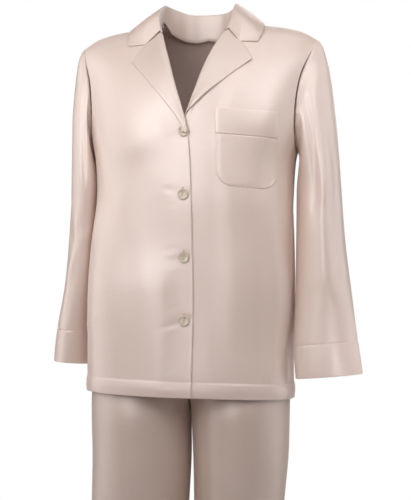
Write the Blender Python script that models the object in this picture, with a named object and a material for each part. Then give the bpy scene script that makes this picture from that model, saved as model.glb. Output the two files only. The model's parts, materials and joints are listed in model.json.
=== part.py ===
"""A satin pyjama set, hollow and open as it is worn: a notched-collar shirt over wide trousers.

Every piece of cloth is a closed wall round a curved sheet. The shirt's body is one smooth form,
read by angle from the front (0 at centre front, +90 at the wearer's left side, 180 at centre
back) and by distance down from the neck points. All sizes are in millimetres; a mesh is turned
into metres as it is made. +X is the wearer's left, the front faces -Y, +Z is up, and the origin
is midway between the two neck points.
"""

import math

import bmesh
import bpy
import numpy as np

METRES = 0.001

# ---------------------------------------------------------------- driving sizes
WALL = 2.0
SEAM_GAP = 0.3
NECK_X = 68.0
UNDERARM_DOWN = 245.0
HEM_DOWN = 664.5
HEM_TILT = 6.5
SHOULDER_TILT = 0.016
FRONT_ROUNDING = 190.0
FRONT_ROUNDING_POWER = 1.8
BACK_ROUNDING = 130.0
BACK_ROUNDING_POWER = 2.0
FOLD_FADE_IN = 0.3
FOLD_FADE_OUT = 0.25

NECK_DROP = 40.0
SHOULDER_SECTION = 100.0
UNDER_GAP = 1.2

BUTTON_RADIUS = 9.5
BUTTON_THICKNESS = 3.0
BUTTON_LIFT = 0.6
BUTTON_FIRST_DOWN = 200.0
BUTTON_PITCH = 110.0
BUTTON_COUNT = 4
BUTTON_SIDES = 24
HOLE_RADIUS = 1.1
HOLE_SPREAD = 2.5
HOLE_SIDES = 12

SLEEVE_JOIN_DOWN = 300.0
CAP_LEAVE = 0.32
CAP_ARRIVE = 0.95
CAP_MIDDLE_DOWN = 200.0
SLEEVE_GAP = 0.45

COLLAR_WALL = 1.4
COLLAR_SHOULDER = 0.58
COLLAR_GORGE_DOWN = 20.0
COLLAR_EDGE_LIFT = 3.6
COLLAR_SEAM_LIFT = 2.2
COLLAR_SEAM_INSET = 1.9
COLLAR_EDGE_REACH = 30.0
COLLAR_NAPE = 0.2

LAPEL_WALL = 1.4
LAPEL_LIFT = 2.6
LAPEL_ROLL_LIFT = 4.0

# The pocket on the wearer's left front: its corners across and down.
POCKET_TOP_DOWN = 158.0
POCKET_BAND_DEPTH = 46.0
POCKET_DEPTH = 136.0
POCKET_INNER = 56.0
POCKET_OUTER = 156.0
POCKET_CORNER = 26.0
POCKET_WALL = 1.0
POCKET_TILT = 0.09
POCKET_LEAN = 0.02
POCKET_LIFT = 1.5
POCKET_BAND_OVERHANG = 0.012

HIP_SQUARE = 2.3
LEG_FOLD_SPREAD = 0.2
INTO_LEG_POWER = 1.2
WAISTBAND_TOP = 396.0
WAISTBAND_BOTTOM = 430.0
SPLIT_DOWN = 590.0
CROTCH_DOWN = 711.0
TROUSER_HEM_DOWN = 1470.0

SATIN = (0.80, 0.68, 0.62)
SATIN_SHADE = (0.66, 0.54, 0.48)
PEARL = (0.78, 0.72, 0.64)


def table(names, *rows):
    """A table with named columns; the first column is the place that the others are read at."""
    columns = {name: np.array(values, float) for name, values in zip(names.split(), zip(*rows))}
    columns["place"] = columns[names.split()[0]]
    return columns


# The shirt's body, by distance down: half width, depth to the front and to the back, how square
# the section is, how far the wearer turns to their right, and where the middle stands.
BODY = table(
    "down half_width front back square turn middle",
    (-60, 244, 108, 88, 2.4, 13.0, 0),
    (0, 238, 112, 95, 2.4, 13.0, 0),
    (50, 230, 114, 103, 2.4, 13.0, 0),
    (100, 213, 116, 108, 2.4, 12.8, -1),
    (155, 200, 119, 111, 2.4, 12.4, -2),
    (208, 187, 122, 111, 2.4, 12.0, -3),
    (245, 178, 124, 110, 2.4, 11.5, -4),
    (317, 180, 126, 106, 2.4, 10.2, -7),
    (389, 186, 123, 103, 2.4, 8.2, -11),
    (497, 187, 121, 110, 2.4, 6.2, -14),
    (569, 185, 123, 119, 2.4, 5.6, -16),
    (640, 185, 127, 125, 2.4, 6.2, -16),
    (711, 186, 128, 127, 2.4, 6.0, -17),
    (860, 186, 128, 127, 2.4, 5.5, -20),
    (1500, 186, 128, 127, 2.4, 5.0, -22),
)

# The line over the shoulders: how far down it runs at each distance from the middle.
RIDGE = table(
    "across down",
    (0, -26),
    (35, -16),
    (68, -2),
    (117, 7),
    (164, 15),
    (190, 23),
    (212, 36),
    (245, 60),
)

# The armholes, from the shoulder point (0) to the underarm (1).
ARMHOLE = table(
    "share drop front_angle back_angle",
    (0, 0, 64.5, 64.5),
    (0.12, 22, 64.0, 64.8),
    (0.3, 58, 62.5, 64.5),
    (0.5, 101, 63.0, 66.0),
    (0.7, 148, 66.5, 69.5),
    (0.84, 180, 72.0, 74.5),
    (0.94, 205, 80.5, 82.0),
    (1, 216, 90.0, 90.0),
)

# The inner edges of the two fronts: the roll line of each lapel, then the buttoned edge.
RIGHT_EDGE = table(
    "down across",
    (-20, -74),
    (0, -68),
    (28, -55.5),
    (73, -36),
    (115, -20.5),
    (165, -3.2),
    (196, 5.5),
    (250, 12),
    (330, 15),
    (430, 16),
    (700, 15),
)
LEFT_EDGE = table(
    "down across",
    (-20, 75),
    (0, 66),
    (28, 55.5),
    (57, 42.5),
    (92, 30),
    (129, 18.5),
    (159, 7.5),
    (171, 2.5),
    (196, -5),
    (250, -12),
    (330, -15),
    (430, -16),
    (700, -15),
)

# The largest folds of the shirt: a soft trough (below 0) or ridge (above 0) along a line.
BODY_FOLDS = table(
    "number top top_angle bottom bottom_angle width height",
    (0, 250, -100, 620, -100, 17, -14),
    (1, 255, 100, 545, 104, 20, -6),
    (2, 300, 52, 700, 58, 13, 5),
    (3, 330, 72, 700, 70, 7, -4),
    (4, 320, -50, 700, -58, 14, 4),
    (5, 170, 150, 900, 159, 12, 8),
    (6, 180, -152, 900, -164, 11, 8),
    (7, 260, 128, 720, 131, 9, -5),
    (8, 240, -130, 720, -134, 10, -5),
)

# The sleeves as rings, by distance down: middle, half width, half depth, turn and outward tilt.
RIGHT_SLEEVE = table(
    "down x y half_width half_depth yaw tilt",
    (290, -205.5, 42, 26.5, 72, 0, 0.02),
    (389, -211.5, 55, 28, 67, 0, 0.03),
    (480, -218.0, 61, 30, 62, -4, 0.05),
    (553, -227.0, 69, 33.5, 56, -8, 0.07),
    (612, -231.5, 75, 36, 55, -8, 0.07),
)
LEFT_SLEEVE = table(
    "down x y half_width half_depth yaw tilt",
    (290, 212.0, -36, 39.5, 66, 0, 0.03),
    (389, 214.5, -46, 43.5, 59, 0, 0.05),
    (497, 219.0, -60, 51, 47, 0, 0.07),
    (571, 222.0, -71, 56.5, 36, 0, 0.08),
    (629, 227.5, -79, 59, 29, 0, 0.08),
)
# Each side's rings, and how far down its cuff's seam and edge are.
SLEEVES = {-1: (RIGHT_SLEEVE, 553.0, 612.0), 1: (LEFT_SLEEVE, 571.0, 629.0)}

# Folds along the sleeves, by angle round the sleeve (0 outside, 90 in front).
SLEEVE_FOLDS = {
    -1: table(
        "number top top_angle bottom bottom_angle width height",
        (0, 70, 62, 330, 96, 15, -5),
        (1, 90, 20, 420, 40, 16, 3),
        (2, 120, -60, 480, -75, 16, -4),
        (3, 300, 60, 560, 50, 14, 3),
    ),
    1: table(
        "number top top_angle bottom bottom_angle width height",
        (0, 60, 74, 380, 116, 14, -6),
        (1, 110, 40, 520, 58, 14, -4),
        (2, 100, -55, 480, -80, 16, -4),
        (3, 200, 84, 520, 88, 12, 4),
    ),
}

# The collar's sections from centre back (0) round to the front end (1), for the wearer's left:
# the fold, the middle of the fall, and the outer edge as its place on the shirt's body. A
# negative drop lies behind the shoulder line.
COLLAR = table(
    "place fold_x fold_y fold_z mid_x mid_y mid_z edge_x edge_drop",
    (0.00, 0, 70, 23, 0, 83, 1, 0, -58),
    (0.22, 34, 62, 25, 46, 71, 4, 56, -29),
    (0.42, 57, 39, 33, 78, 42, 14, 97, -9),
    (0.58, 66, 9, 36, 92, 10, 18, 118, 0.5),
    (0.72, 67, -16, 29, 95, -18, 12, 123, 8),
    (0.86, 66, -36, 11, 91, -47, -2, 122, 21),
    (1.00, 63, -47, -14, 85, -61.5, -40, 117, 34),
)

# Lapels on the fronts: distance down the roll line, then the outer edge's place.
RIGHT_LAPEL = table(
    "place roll_down edge_across edge_down",
    (0.0, 22, -86, 43),
    (0.22, 48, -105, 71.5),
    (0.45, 90, -72, 107),
    (0.72, 137, -34, 149.5),
    (1.0, 184, -3, 187),
)
LEFT_LAPEL = table(
    "place roll_down edge_across edge_down",
    (0.0, 22, 88, 43),
    (0.22, 46, 112, 73.5),
    (0.45, 82, 78, 100),
    (0.72, 124, 38, 133),
    (1.0, 167, 6, 166),
)

# The trousers above the split, then each leg, by distance down.
HIPS = table(
    "down half_width front back",
    (380, 127, 88, 90),
    (430, 130, 90, 93),
    (480, 146, 97, 97),
    (540, 164, 105, 106),
    (600, 175, 111, 112),
    (660, 179, 115, 116),
    (720, 181, 116, 117),
)
LEGS = {
    -1: table(
        "down offset half_width front back",
        (560, 88, 87.5, 112, 114),
        (711, 88.5, 89.7, 106, 112),
        (770, 86.5, 89.3, 102, 106),
        (860, 87.5, 87.8, 97, 101),
        (1050, 88, 85, 92, 95),
        (1470, 89, 86.5, 90, 93),
    ),
    1: table(
        "down offset half_width front back",
        (560, 88, 87.5, 112, 114),
        (711, 90.6, 87.8, 106, 112),
        (770, 92.2, 85.7, 102, 106),
        (860, 90.9, 80.8, 97, 101),
        (1050, 89, 78.5, 92, 95),
        (1470, 90, 82, 90, 93),
    ),
}
LEG_FOLDS = {
    -1: table(
        "number top top_angle bottom bottom_angle width height",
        (0, 690, -30, 1800, -10, 13, 7),
        (1, 720, -62, 1700, -40, 12, -7),
        (2, 760, 38, 1800, 30, 15, -6),
        (3, 860, 68, 1900, 58, 13, 7),
        (4, 730, 150, 1800, 168, 15, 7),
        (5, 760, -140, 1800, -155, 15, -6),
        (6, 820, 112, 1900, 118, 13, -5),
    ),
    1: table(
        "number top top_angle bottom bottom_angle width height",
        (0, 690, -26, 1800, -14, 13, 5),
        (1, 740, -60, 1700, -52, 13, -6),
        (2, 740, 34, 1800, 44, 14, -7),
        (3, 880, 6, 1900, 12, 13, 6),
        (4, 900, 72, 1900, 78, 13, 6),
        (5, 760, 140, 1800, 152, 15, 7),
        (6, 730, -148, 1800, -140, 15, -6),
    ),
}

# A button's outline from its face to its underside, as shares of its radius and thickness.
BUTTON_PROFILE = table(
    "radius height",
    (0.62, 0.72),
    (0.74, 1.0),
    (0.9, 1.0),
    (1.0, 0.62),
    (0.94, 0.0),
)

# Where the grids' rows lie: beside the armhole, from there to the hem, and over a sleeve's cap.
ARMHOLE_SHARES = np.array([0, 0.05, 0.14, 0.27, 0.42, 0.58, 0.73, 0.86, 0.95, 1.0])
BELOW_SHARES = 1 + np.linspace(0, 1, 11)[1:]
CAP_SHARES = np.array([0, 0.07, 0.17, 0.3, 0.46, 0.64, 0.82, 1.0])


# ---------------------------------------------------------------- reading tables
def smooth_curve(places, values, at):
    """A smooth curve through the rows, carried on straight past both ends."""
    slopes = np.gradient(values, places)
    at = np.asarray(at, float)
    row = np.clip(np.searchsorted(places, at) - 1, 0, len(places) - 2)
    span = places[row + 1] - places[row]
    share = np.clip((at - places[row]) / span, 0, 1)
    rise = values[row + 1] - values[row]
    inner = (
        values[row]
        + share * share * (3 - 2 * share) * rise
        + span * share * (1 - share) * ((1 - share) * slopes[row] - share * slopes[row + 1])
    )
    before = np.minimum(at - places[0], 0) * slopes[0]
    after = np.maximum(at - places[-1], 0) * slopes[-1]
    return inner + before + after


def read(columns, name, at):
    return smooth_curve(columns["place"], columns[name], at)


def ease(share):
    share = np.clip(share, 0, 1)
    return share * share * (3 - 2 * share)


def mix(first, last, share):
    return first + (last - first) * share


def power(base, exponent):
    return np.sign(base) * np.abs(base) ** exponent


def stacked(x, y, z):
    return np.stack(np.broadcast_arrays(x, y, z), axis=-1)


def unit(vectors):
    return vectors / np.maximum(np.linalg.norm(vectors, axis=-1, keepdims=True), 1e-12)


def fold_height(folds, angle, down):
    """The sum of the folds: each fades in and out along its line and is a soft bell across it."""
    total = np.zeros(np.broadcast(angle, down).shape)
    for row in range(len(folds["place"])):
        share = (down - folds["top"][row]) / (folds["bottom"][row] - folds["top"][row])
        centre = mix(folds["top_angle"][row], folds["bottom_angle"][row], share)
        across = (angle - centre + 180) % 360 - 180
        fade = ease(share / FOLD_FADE_IN) * ease((1 - share) / FOLD_FADE_OUT)
        bell = np.exp(-((across / folds["width"][row]) ** 2))
        total = total + folds["height"][row] * fade * bell
    return total


# ---------------------------------------------------------------- the shirt's body
def rounding(drop, reach, exponent):
    share = np.clip(np.abs(drop) / reach, 0, 1)
    return (1 - (1 - share) ** exponent) ** (1 / exponent)


def posed(x, y, z, down):
    """From the straight body to the worn pose: turned, shifted and tipped at the shoulders."""
    turn = np.radians(read(BODY, "turn", down))
    middle = read(BODY, "middle", down)
    tip = SHOULDER_TILT * x * (1 - ease(down / UNDERARM_DOWN))
    turned_x = x * np.cos(turn) + y * np.sin(turn) + middle
    turned_y = y * np.cos(turn) - x * np.sin(turn)
    return stacked(turned_x, turned_y, z + tip)


def across_of(angle, down):
    exponent = 2 / read(BODY, "square", down)
    return read(BODY, "half_width", down) * power(np.sin(np.radians(angle)), exponent)


def angle_of(across, down):
    share = np.clip(across / read(BODY, "half_width", down), -1, 1)
    return np.degrees(np.arcsin(power(share, read(BODY, "square", down) / 2)))


def body_point(angle, down, out=0.0, drop=None):
    """A point of the shirt's body. A negative drop is a point just over the ridge, beyond it."""
    square = read(BODY, "square", down)
    half_width = read(BODY, "half_width", down)
    sine, cosine = np.sin(np.radians(angle)), np.cos(np.radians(angle))
    x = half_width * power(sine, 2 / square)
    if drop is None:
        drop = down - read(RIDGE, "down", np.abs(x))
    ahead = (cosine >= 0) == (drop >= 0)
    depth = np.where(ahead, read(BODY, "front", down), read(BODY, "back", down))
    round_front = rounding(drop, FRONT_ROUNDING, FRONT_ROUNDING_POWER)
    round_back = rounding(drop, BACK_ROUNDING, BACK_ROUNDING_POWER)
    factor = np.where(ahead, round_front, round_back) * np.sign(drop + 1e-9)
    y = -depth * power(cosine, 2 / square) * factor
    normal_x = power(sine, 2 - 2 / square) / half_width
    normal_y = -power(cosine, 2 - 2 / square) / depth
    length = np.hypot(normal_x, normal_y)
    push = fold_height(BODY_FOLDS, angle, down) + out
    x = x + push * normal_x / length
    y = y + push * normal_y / length
    return posed(x, y, -down, down)


def down_at_drop(angle, drop):
    """The distance down of a point that lies this far below the shoulder line."""
    down = np.abs(drop) + read(RIDGE, "down", SHOULDER_SECTION)
    for _ in range(6):
        down = np.abs(drop) + read(RIDGE, "down", np.abs(across_of(angle, down)))
    return down


def hem_down(angle):
    return HEM_DOWN + HEM_TILT * np.sin(np.radians(angle))


def panel_place(u, v, inner, outer):
    """(angle, down, drop) on a panel: v is 0 to 1 beside the armhole and 1 to 2 down to the hem.

    inner(v) and outer(v) give the angle and drop of the panel's two edges beside the armhole.
    """
    above = np.minimum(v, 1.0)
    inner_angle, inner_drop = inner(above)
    outer_angle, outer_drop = outer(above)
    angle = mix(inner_angle, outer_angle, u)
    drop = mix(inner_drop, outer_drop, u)
    return angle, down_at_drop(angle, drop), drop


def front_surface(side, edge):
    """The front on one side, from its inner edge (u = 0) to the armhole and side seam (u = 1)."""

    def inner(v):
        down = mix(read(RIDGE, "down", NECK_X), UNDERARM_DOWN, v)
        across = read(edge, "across", down)
        at_neck = read(edge, "across", read(RIDGE, "down", NECK_X))
        above_neck = read(RIDGE, "down", NECK_X) - read(RIDGE, "down", np.abs(at_neck))
        return angle_of(across, down), down - read(RIDGE, "down", np.abs(across)) - above_neck

    def outer(v):
        return side * read(ARMHOLE, "front_angle", v), read(ARMHOLE, "drop", v)

    def place(u, v):
        angle, down, drop = panel_place(u, v, inner, outer)
        below = np.clip(v - 1, 0, None)
        edge_down = mix(UNDERARM_DOWN, HEM_DOWN, below)
        low_angle = mix(angle_of(read(edge, "across", edge_down), edge_down), side * 90.0, u)
        low_down = mix(down, hem_down(low_angle), below)
        angle = np.where(v > 1, low_angle, angle)
        down = np.where(v > 1, low_down, down)
        drop = np.where(v > 1, down - read(RIDGE, "down", np.abs(across_of(angle, down))), drop)
        return angle, down, drop

    def surface(u, v, out=0.0):
        angle, down, drop = place(u, v)
        return body_point(angle, down, out, drop)

    return surface


def back_surface(u, v, out=0.0):
    """The back, from the wearer's right side (u = 0) round to the left (u = 1)."""
    along = 2 * u - 1
    side_angle = read(ARMHOLE, "back_angle", np.minimum(v, 1.0))
    from_back = side_angle * along
    neck_angle = angle_of(NECK_X, 0.0)
    neck = np.clip(1 - (from_back / neck_angle) ** 2, 0, 1) * NECK_DROP
    drop = mix(neck, read(ARMHOLE, "drop", 1.0) + 0 * neck, np.minimum(v, 1.0))
    edge_drop = read(ARMHOLE, "drop", np.minimum(v, 1.0))
    weight = np.abs(along) ** 3
    drop = mix(drop, edge_drop, weight)
    down = down_at_drop(from_back, drop)
    below = np.clip(v - 1, 0, None)
    angle = 180 - from_back
    down = mix(down, hem_down(angle), below)
    drop = np.where(v > 1, down - read(RIDGE, "down", np.abs(across_of(angle, down))), drop)
    signed = np.where(v < 0, -np.abs(drop), drop)
    return body_point(angle, down, out, signed)


def armhole_loop(side, shares):
    """The armhole's points down the front from the shoulder point, then up the back to it."""
    front = body_point(
        side * read(ARMHOLE, "front_angle", shares),
        down_at_drop(read(ARMHOLE, "front_angle", shares), read(ARMHOLE, "drop", shares)),
        0.0,
        read(ARMHOLE, "drop", shares),
    )
    back = body_point(
        180 - side * read(ARMHOLE, "back_angle", shares),
        down_at_drop(read(ARMHOLE, "back_angle", shares), read(ARMHOLE, "drop", shares)),
        0.0,
        read(ARMHOLE, "drop", shares),
    )
    return np.concatenate([front, back[-2:0:-1]])


# ---------------------------------------------------------------- sleeves
def sleeve_ring(side, angle, down):
    """A point of the lower sleeve: angle 0 is outside, 90 in front, 180 against the body."""
    rings = SLEEVES[side][0]
    outward = np.cos(np.radians(angle)) * read(rings, "half_width", down)
    forward = np.sin(np.radians(angle)) * read(rings, "half_depth", down)
    yaw = np.radians(read(rings, "yaw", down))
    x = outward * np.cos(yaw) - forward * np.sin(yaw)
    y = -outward * np.sin(yaw) - forward * np.cos(yaw)
    lift = read(rings, "tilt", down) * outward
    return stacked(read(rings, "x", down) + side * x, read(rings, "y", down) + y, lift - down)


def start_direction(side, angle):
    """Which way the sleeve leaves the armhole: out over the shoulder, level at the underarm."""
    front = np.sin(np.radians(angle))
    over = (1 + np.cos(np.radians(angle))) / 2
    return unit(stacked(side * (0.85 + 0.10 * over), -0.30 * front, -0.35 - 0.02 * over))


def sleeve_surface(side, shares):
    """The sleeve from the armhole loop (v = 0) through its cap (1) to the cuff seam (2)."""
    loop = armhole_loop(side, shares)
    lengths = np.linalg.norm(np.roll(loop, -1, axis=0) - loop, axis=1)
    walked = np.concatenate([[0], np.cumsum(lengths)])
    half = len(shares) - 1
    front = 180 * walked[: half + 1] / walked[half]
    back = 180 + 180 * (walked[half:-1] - walked[half]) / (walked[-1] - walked[half])
    angles = np.concatenate([front, back[1:]])
    cuff_seam = SLEEVES[side][1]

    def surface(column, v):
        angle = angles[column]
        start = loop[column]
        end = sleeve_ring(side, angle, SLEEVE_JOIN_DOWN)
        chord = np.linalg.norm(end - start, axis=-1, keepdims=True)
        leave = start_direction(side, angle) * chord * CAP_LEAVE
        arrive = unit(sleeve_ring(side, angle, SLEEVE_JOIN_DOWN + 20) - end) * chord * CAP_ARRIVE
        share = np.clip(v, 0, 1)[..., None]
        cap = (
            start * (1 + 2 * share) * (1 - share) ** 2
            + end * share**2 * (3 - 2 * share)
            + leave * share * (1 - share) ** 2
            - arrive * share**2 * (1 - share)
        )
        lower = sleeve_ring(side, angle, mix(SLEEVE_JOIN_DOWN, cuff_seam, np.clip(v - 1, 0, None)))
        points = np.where((v > 1)[..., None], lower, cap)
        push = fold_height(SLEEVE_FOLDS[side], angle, -points[..., 2]) * ease(v / 0.4)
        ring_down = np.maximum(-points[..., 2], CAP_MIDDLE_DOWN)
        middle_x = read(SLEEVES[side][0], "x", ring_down)
        middle_y = read(SLEEVES[side][0], "y", ring_down)
        away = unit(stacked(points[..., 0] - middle_x, points[..., 1] - middle_y, 0 * middle_x))
        return points + away * push[..., None]

    return surface, len(angles)


def cuff_surface(side, angle, v):
    seam, edge = SLEEVES[side][1:]
    return sleeve_ring(side, angle, mix(seam, edge, v))


# ---------------------------------------------------------------- pieces that lie on the fronts
def on_front(across, down, out):
    angle = angle_of(across, down)
    return body_point(angle, down, out, down - read(RIDGE, "down", np.abs(across)))


def lapel_surface(edge, lapel):
    """A lapel from its roll line (u = 0) to its outer edge (u = 1), top (v = 0) to break (1)."""

    def surface(u, v):
        roll_down = read(lapel, "roll_down", v)
        edge_across = np.interp(v, lapel["place"], lapel["edge_across"])
        edge_down = np.interp(v, lapel["place"], lapel["edge_down"])
        across = mix(read(edge, "across", roll_down), edge_across, u)
        down = mix(roll_down, edge_down, u)
        beside_roll = (1 - np.clip(u, 0, 1)) * np.clip(u * 6 + 0.25, 0, 1)
        puff = LAPEL_ROLL_LIFT * beside_roll * (1 - 0.8 * v)
        return on_front(across, down, LAPEL_LIFT + puff)

    return surface


def pocket_point(across_share, down, out):
    """A point on the pocket: shares 0 to 1 from its inner side to its outer side."""
    across = mix(POCKET_INNER, POCKET_OUTER, across_share)
    slope = POCKET_TILT * (across - POCKET_INNER)
    return on_front(across + POCKET_LEAN * (down - POCKET_TOP_DOWN), down + slope, out)


def pocket_surface(u, v):
    """The pocket under its band, with its two lower corners rounded."""
    bottom = POCKET_TOP_DOWN + POCKET_DEPTH
    down = mix(POCKET_TOP_DOWN + POCKET_BAND_DEPTH + SEAM_GAP, bottom, v)
    above = bottom - down
    short = np.clip(1 - above / POCKET_CORNER, 0, 0.98)
    inset = POCKET_CORNER * (1 - np.sqrt(1 - short**2)) / (POCKET_OUTER - POCKET_INNER)
    return pocket_point(mix(inset, 1 - inset, u), down, POCKET_LIFT + POCKET_WALL)


def pocket_band_surface(u, v):
    """The pocket's turned top, a little wider than the pocket and half a layer thicker."""
    down = mix(POCKET_TOP_DOWN, POCKET_TOP_DOWN + POCKET_BAND_DEPTH, v)
    share = mix(-POCKET_BAND_OVERHANG, 1 + POCKET_BAND_OVERHANG, u)
    return pocket_point(share, down, POCKET_LIFT + POCKET_WALL * 1.5)


# ---------------------------------------------------------------- collar
def neck_seam(along):
    """The shirt's neckline: round the back to the neck points, then down each front's roll line."""
    place = np.abs(along)
    side = np.where(along < 0, -1.0, 1.0)
    round_back = np.clip(place / COLLAR_SHOULDER, 0, 1)
    half_angle = angle_of(NECK_X, 0.0) / read(ARMHOLE, "back_angle", 0.0)
    back = back_surface(0.5 + 0.5 * side * half_angle * round_back, 0 * place)
    down_front = np.clip((place - COLLAR_SHOULDER) / (1 - COLLAR_SHOULDER), 0, 1)
    down = mix(read(RIDGE, "down", NECK_X) + 0.5, COLLAR_GORGE_DOWN, down_front)
    right_across = read(RIGHT_EDGE, "across", down)
    across = np.where(side < 0, right_across, read(LEFT_EDGE, "across", down))
    front = on_front(across, down, 0.0)
    return np.where((place > COLLAR_SHOULDER)[..., None], front, back)


def collar_point(along, across):
    """A point of the collar: along -1 to 1 from the wearer's right end to the left.

    across runs 0 at the neck seam, 1 at the fold, 2 in the middle of the fall and 3 at its edge.
    """
    place = np.abs(along)
    mirror = np.where(along < 0, -1.0, 1.0)
    # Depths and heights level off round the nape, so that the collar has no corner there.
    nape = (place**2 / COLLAR_NAPE + COLLAR_NAPE) / 2
    level = np.where(place < COLLAR_NAPE, nape, place)

    def station(name):
        x = read(COLLAR, name + "_x", place)
        y, z = read(COLLAR, name + "_y", level), read(COLLAR, name + "_z", level)
        return posed(mirror * x, y, z, -z)

    fold, middle = station("fold"), station("mid")
    drop = read(COLLAR, "edge_drop", level)
    edge_across = read(COLLAR, "edge_x", place)
    down = np.abs(drop) + read(RIDGE, "down", edge_across)
    angle = angle_of(edge_across, down)
    edge_front = body_point(mirror * angle, down, COLLAR_EDGE_LIFT, np.abs(drop))
    edge_back = body_point(180 - mirror * angle, down, COLLAR_EDGE_LIFT, np.abs(drop))
    edge = np.where((drop < 0)[..., None], edge_back, edge_front)
    edge[..., 2] += COLLAR_EDGE_LIFT * np.clip(1 - np.abs(drop) / COLLAR_EDGE_REACH, 0, 1)
    seam = neck_seam(along)
    to_middle = unit(seam * (-1.0, -1.0, 0.0)) * COLLAR_SEAM_INSET
    seam = seam + to_middle + (0.0, 0.0, COLLAR_SEAM_LIFT)
    rise = np.clip(across, None, 1)[..., None]
    stand = mix(seam, fold, rise)
    fall = np.clip((across - 1) / 2, 0, None)[..., None]
    bend = 2 * middle - 0.5 * (fold + edge)
    curved = fold * (1 - fall) ** 2 + bend * 2 * fall * (1 - fall) + edge * fall**2
    straight = np.where(fall < 0.5, mix(fold, middle, 2 * fall), mix(middle, edge, 2 * fall - 1))
    down_fall = mix(curved, straight, ease((place - 0.84) / 0.14)[..., None])
    return np.where((across > 1)[..., None], down_fall, stand)


# ---------------------------------------------------------------- trousers
def trouser_point(side, u, down, back):
    """A trouser panel from its centre seam or inseam (u = 0) to its outseam (u = 1)."""
    hip_angle = np.radians(90 * u)
    half_width = read(HIPS, "half_width", down)
    depth = read(HIPS, "back" if back else "front", down)
    exponent = 2 / HIP_SQUARE
    body_x = half_width * power(np.sin(hip_angle), exponent)
    body_y = depth * power(np.cos(hip_angle), exponent)
    leg_angle = -90 + 180 * u
    leg_depth = read(LEGS[side], "back" if back else "front", down)
    push = fold_height(LEG_FOLDS[side], 180 - leg_angle if back else leg_angle, down)
    reach = read(LEGS[side], "half_width", down) + push * LEG_FOLD_SPREAD
    leg_x = read(LEGS[side], "offset", down) + reach * np.sin(np.radians(leg_angle))
    leg_y = (leg_depth + push) * np.cos(np.radians(leg_angle))
    into_leg = ease((down - SPLIT_DOWN) / (CROTCH_DOWN - SPLIT_DOWN)) ** INTO_LEG_POWER
    x = mix(body_x, leg_x, into_leg) + SEAM_GAP / 2 * (1 - into_leg)
    y = mix(body_y, leg_y, into_leg)
    return posed(side * x, y if back else -y, -down, down)


def waistband_surface(angle, v):
    down = mix(WAISTBAND_TOP, WAISTBAND_BOTTOM, v)
    sine, cosine = np.sin(np.radians(angle)), np.cos(np.radians(angle))
    depth = np.where(cosine > 0, read(HIPS, "front", down), read(HIPS, "back", down))
    x = read(HIPS, "half_width", down) * power(sine, 2 / HIP_SQUARE)
    return posed(x, -depth * power(cosine, 2 / HIP_SQUARE), -down, down)


# ---------------------------------------------------------------- making solids
def satin_material(name, colour, roughness):
    material = bpy.data.materials.new(name)
    material.use_nodes = True
    shader = material.node_tree.nodes["Principled BSDF"]
    shader.inputs["Base Color"].default_value = (*colour, 1.0)
    shader.inputs["Roughness"].default_value = roughness
    shader.inputs["Metallic"].default_value = 0.0
    return material


def add_object(name, build, material):
    mesh = bpy.data.meshes.new(name)
    build.to_mesh(mesh)
    build.free()
    mesh.materials.append(material)
    mesh.shade_smooth()
    mesh.set_sharp_from_angle(angle=math.radians(40))
    obj = bpy.data.objects.new(name, mesh)
    bpy.context.scene.collection.objects.link(obj)
    return obj


def edges_drawn_in(points, sides, distance):
    """The named sides of the grid moved into it, so that its neighbour across a seam is clear."""
    moved = points.copy()
    for side in sides:
        last, before = (0, 1) if side.endswith("0") else (-1, -2)
        rows = moved if side.startswith("u") else moved.swapaxes(0, 1)
        source = points if side.startswith("u") else points.swapaxes(0, 1)
        rows[last] = rows[last] + unit(source[before] - source[last]) * distance
    return moved


def normals_of(surface, u, v, step_u=1e-3, step_v=1e-3):
    along = surface(u + step_u, v) - surface(u - step_u, v)
    down = surface(u, v + step_v) - surface(u, v - step_v)
    return unit(np.cross(along, down))


def grid_normals(points, closed):
    """Normals from the grid itself, for a tube or a sheet whose form has no formula."""
    if closed:
        along = np.roll(points, -1, axis=0) - np.roll(points, 1, axis=0)
    else:
        along = np.gradient(points, axis=0)
    return unit(np.cross(along, np.gradient(points, axis=1)))


def wall(name, outer, normals, thickness, material, closed=False, drawn_in=(), gap=SEAM_GAP / 2):
    """A closed wall: the outer grid, the same grid moved in, and rims round its open edges."""
    inner = outer - normals * thickness
    build = bmesh.new()
    count_u, count_v = outer.shape[:2]
    skins = []
    for skin in (outer, inner):
        drawn = edges_drawn_in(skin, drawn_in, gap)
        skins.append([[build.verts.new(point * METRES) for point in row] for row in drawn])
    upper, lower = skins
    steps = range(count_u if closed else count_u - 1)
    for skin in skins:
        for i in steps:
            after = skin[(i + 1) % count_u]
            for j in range(count_v - 1):
                build.faces.new((skin[i][j], skin[i][j + 1], after[j + 1], after[j]))
    for i in steps:
        k = (i + 1) % count_u
        for j in (0, count_v - 1):
            build.faces.new((upper[i][j], upper[k][j], lower[k][j], lower[i][j]))
    if not closed:
        for i in (0, count_u - 1):
            for j in range(count_v - 1):
                build.faces.new((upper[i][j], upper[i][j + 1], lower[i][j + 1], lower[i][j]))
    bmesh.ops.recalc_face_normals(build, faces=build.faces)
    return add_object(name, build, material)


def panel(name, surface, us, vs, thickness, material, drawn_in=(), outward=1.0):
    u, v = np.meshgrid(us, vs, indexing="ij")
    normals = normals_of(surface, u, v) * outward
    return wall(name, surface(u, v), normals, thickness, material, drawn_in=drawn_in)


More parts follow.
